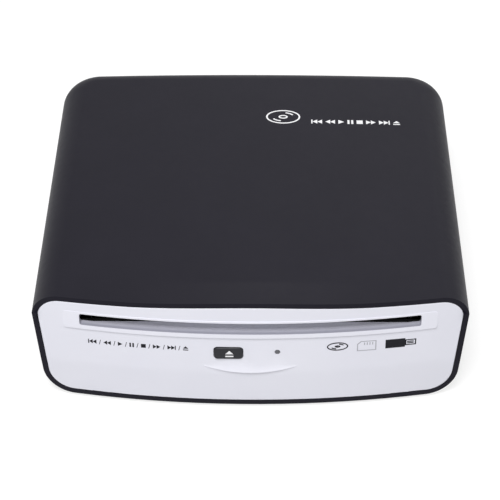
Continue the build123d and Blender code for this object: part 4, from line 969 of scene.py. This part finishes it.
matt = {"Roughness": 0.9, "Base Color": floor_grey, "Specular IOR Level": 0.0}
floor_material, floor_tree, floor_shader = new_finish("floor_white", matt)
glow = add_node(floor_tree, "Emission", {"Strength": floor_glow})
nothing = add_node(floor_tree, "Emission", {"Strength": 0.0})
choice = add_node(floor_tree, "MixShader")
both = add_node(floor_tree, "AddShader")
floor_tree.links.new(seen_directly(floor_tree), choice.inputs["Fac"])
floor_tree.links.new(nothing.outputs["Emission"], choice.inputs[1])
floor_tree.links.new(glow.outputs["Emission"], choice.inputs[2])
floor_tree.links.new(floor_shader.outputs["BSDF"], both.inputs[0])
floor_tree.links.new(choice.outputs["Shader"], both.inputs[1])
floor_output = [n for n in floor_tree.nodes if n.type == "OUTPUT_MATERIAL"][0]
floor_tree.links.new(both.outputs["Shader"], floor_output.inputs["Surface"])
dress(floor, floor_material)
print("floor", 2 * floor_half, "m square")

# %% Sky
sky_strength = 0.44
background_strength = 1.0

world = bpy.data.worlds.new("studio")
world.use_nodes = True
bpy.context.scene.world = world
sky_tree = world.node_tree
sky_tree.nodes.clear()
sky_light = add_node(sky_tree, "Background", {"Strength": sky_strength, "Color": white})
sky_seen = add_node(sky_tree, "Background", {"Strength": background_strength, "Color": white})
sky_choice = add_node(sky_tree, "MixShader")
sky_output = add_node(sky_tree, "OutputWorld")
sky_tree.links.new(seen_directly(sky_tree), sky_choice.inputs["Fac"])
sky_tree.links.new(sky_light.outputs["Background"], sky_choice.inputs[1])
sky_tree.links.new(sky_seen.outputs["Background"], sky_choice.inputs[2])
sky_tree.links.new(sky_choice.outputs["Shader"], sky_output.inputs["Surface"])
print("sky lights with", sky_strength, "and shows as", background_strength)

# %% [markdown]
# ## Lamps
#
# One broad lamp stands high in front, a little to the left, a weaker one lower down reaches into
# the slot, and one behind draws the shoulders. Each is a square that faces the player, and its
# size makes its shadows soft.


# %% Lamps
def softbox(name, place, size, power):
    """A square area lamp at a place, turned to face the middle of the player."""
    lamp = bpy.data.lights.new(name, "AREA")
    lamp.shape = "SQUARE"
    lamp.size = size
    lamp.energy = power
    holder = bpy.data.objects.new(name, lamp)
    bpy.context.scene.collection.objects.link(holder)
    holder.location = place
    holder.rotation_euler = (aim - Vector(place)).to_track_quat("-Z", "Y").to_euler()


softbox("key_lamp", place=(-0.16, -0.68, 1.24), size=0.5, power=14.2)
softbox("front_lamp", place=(-0.1, -1.1, 0.65), size=0.4, power=3.3)
softbox("back_lamp", place=(0.3, 1.0, 0.8), size=0.8, power=1.5)
bpy.context.scene.view_settings.view_transform = "Standard"
print(len(bpy.data.lights), "lamps ready")
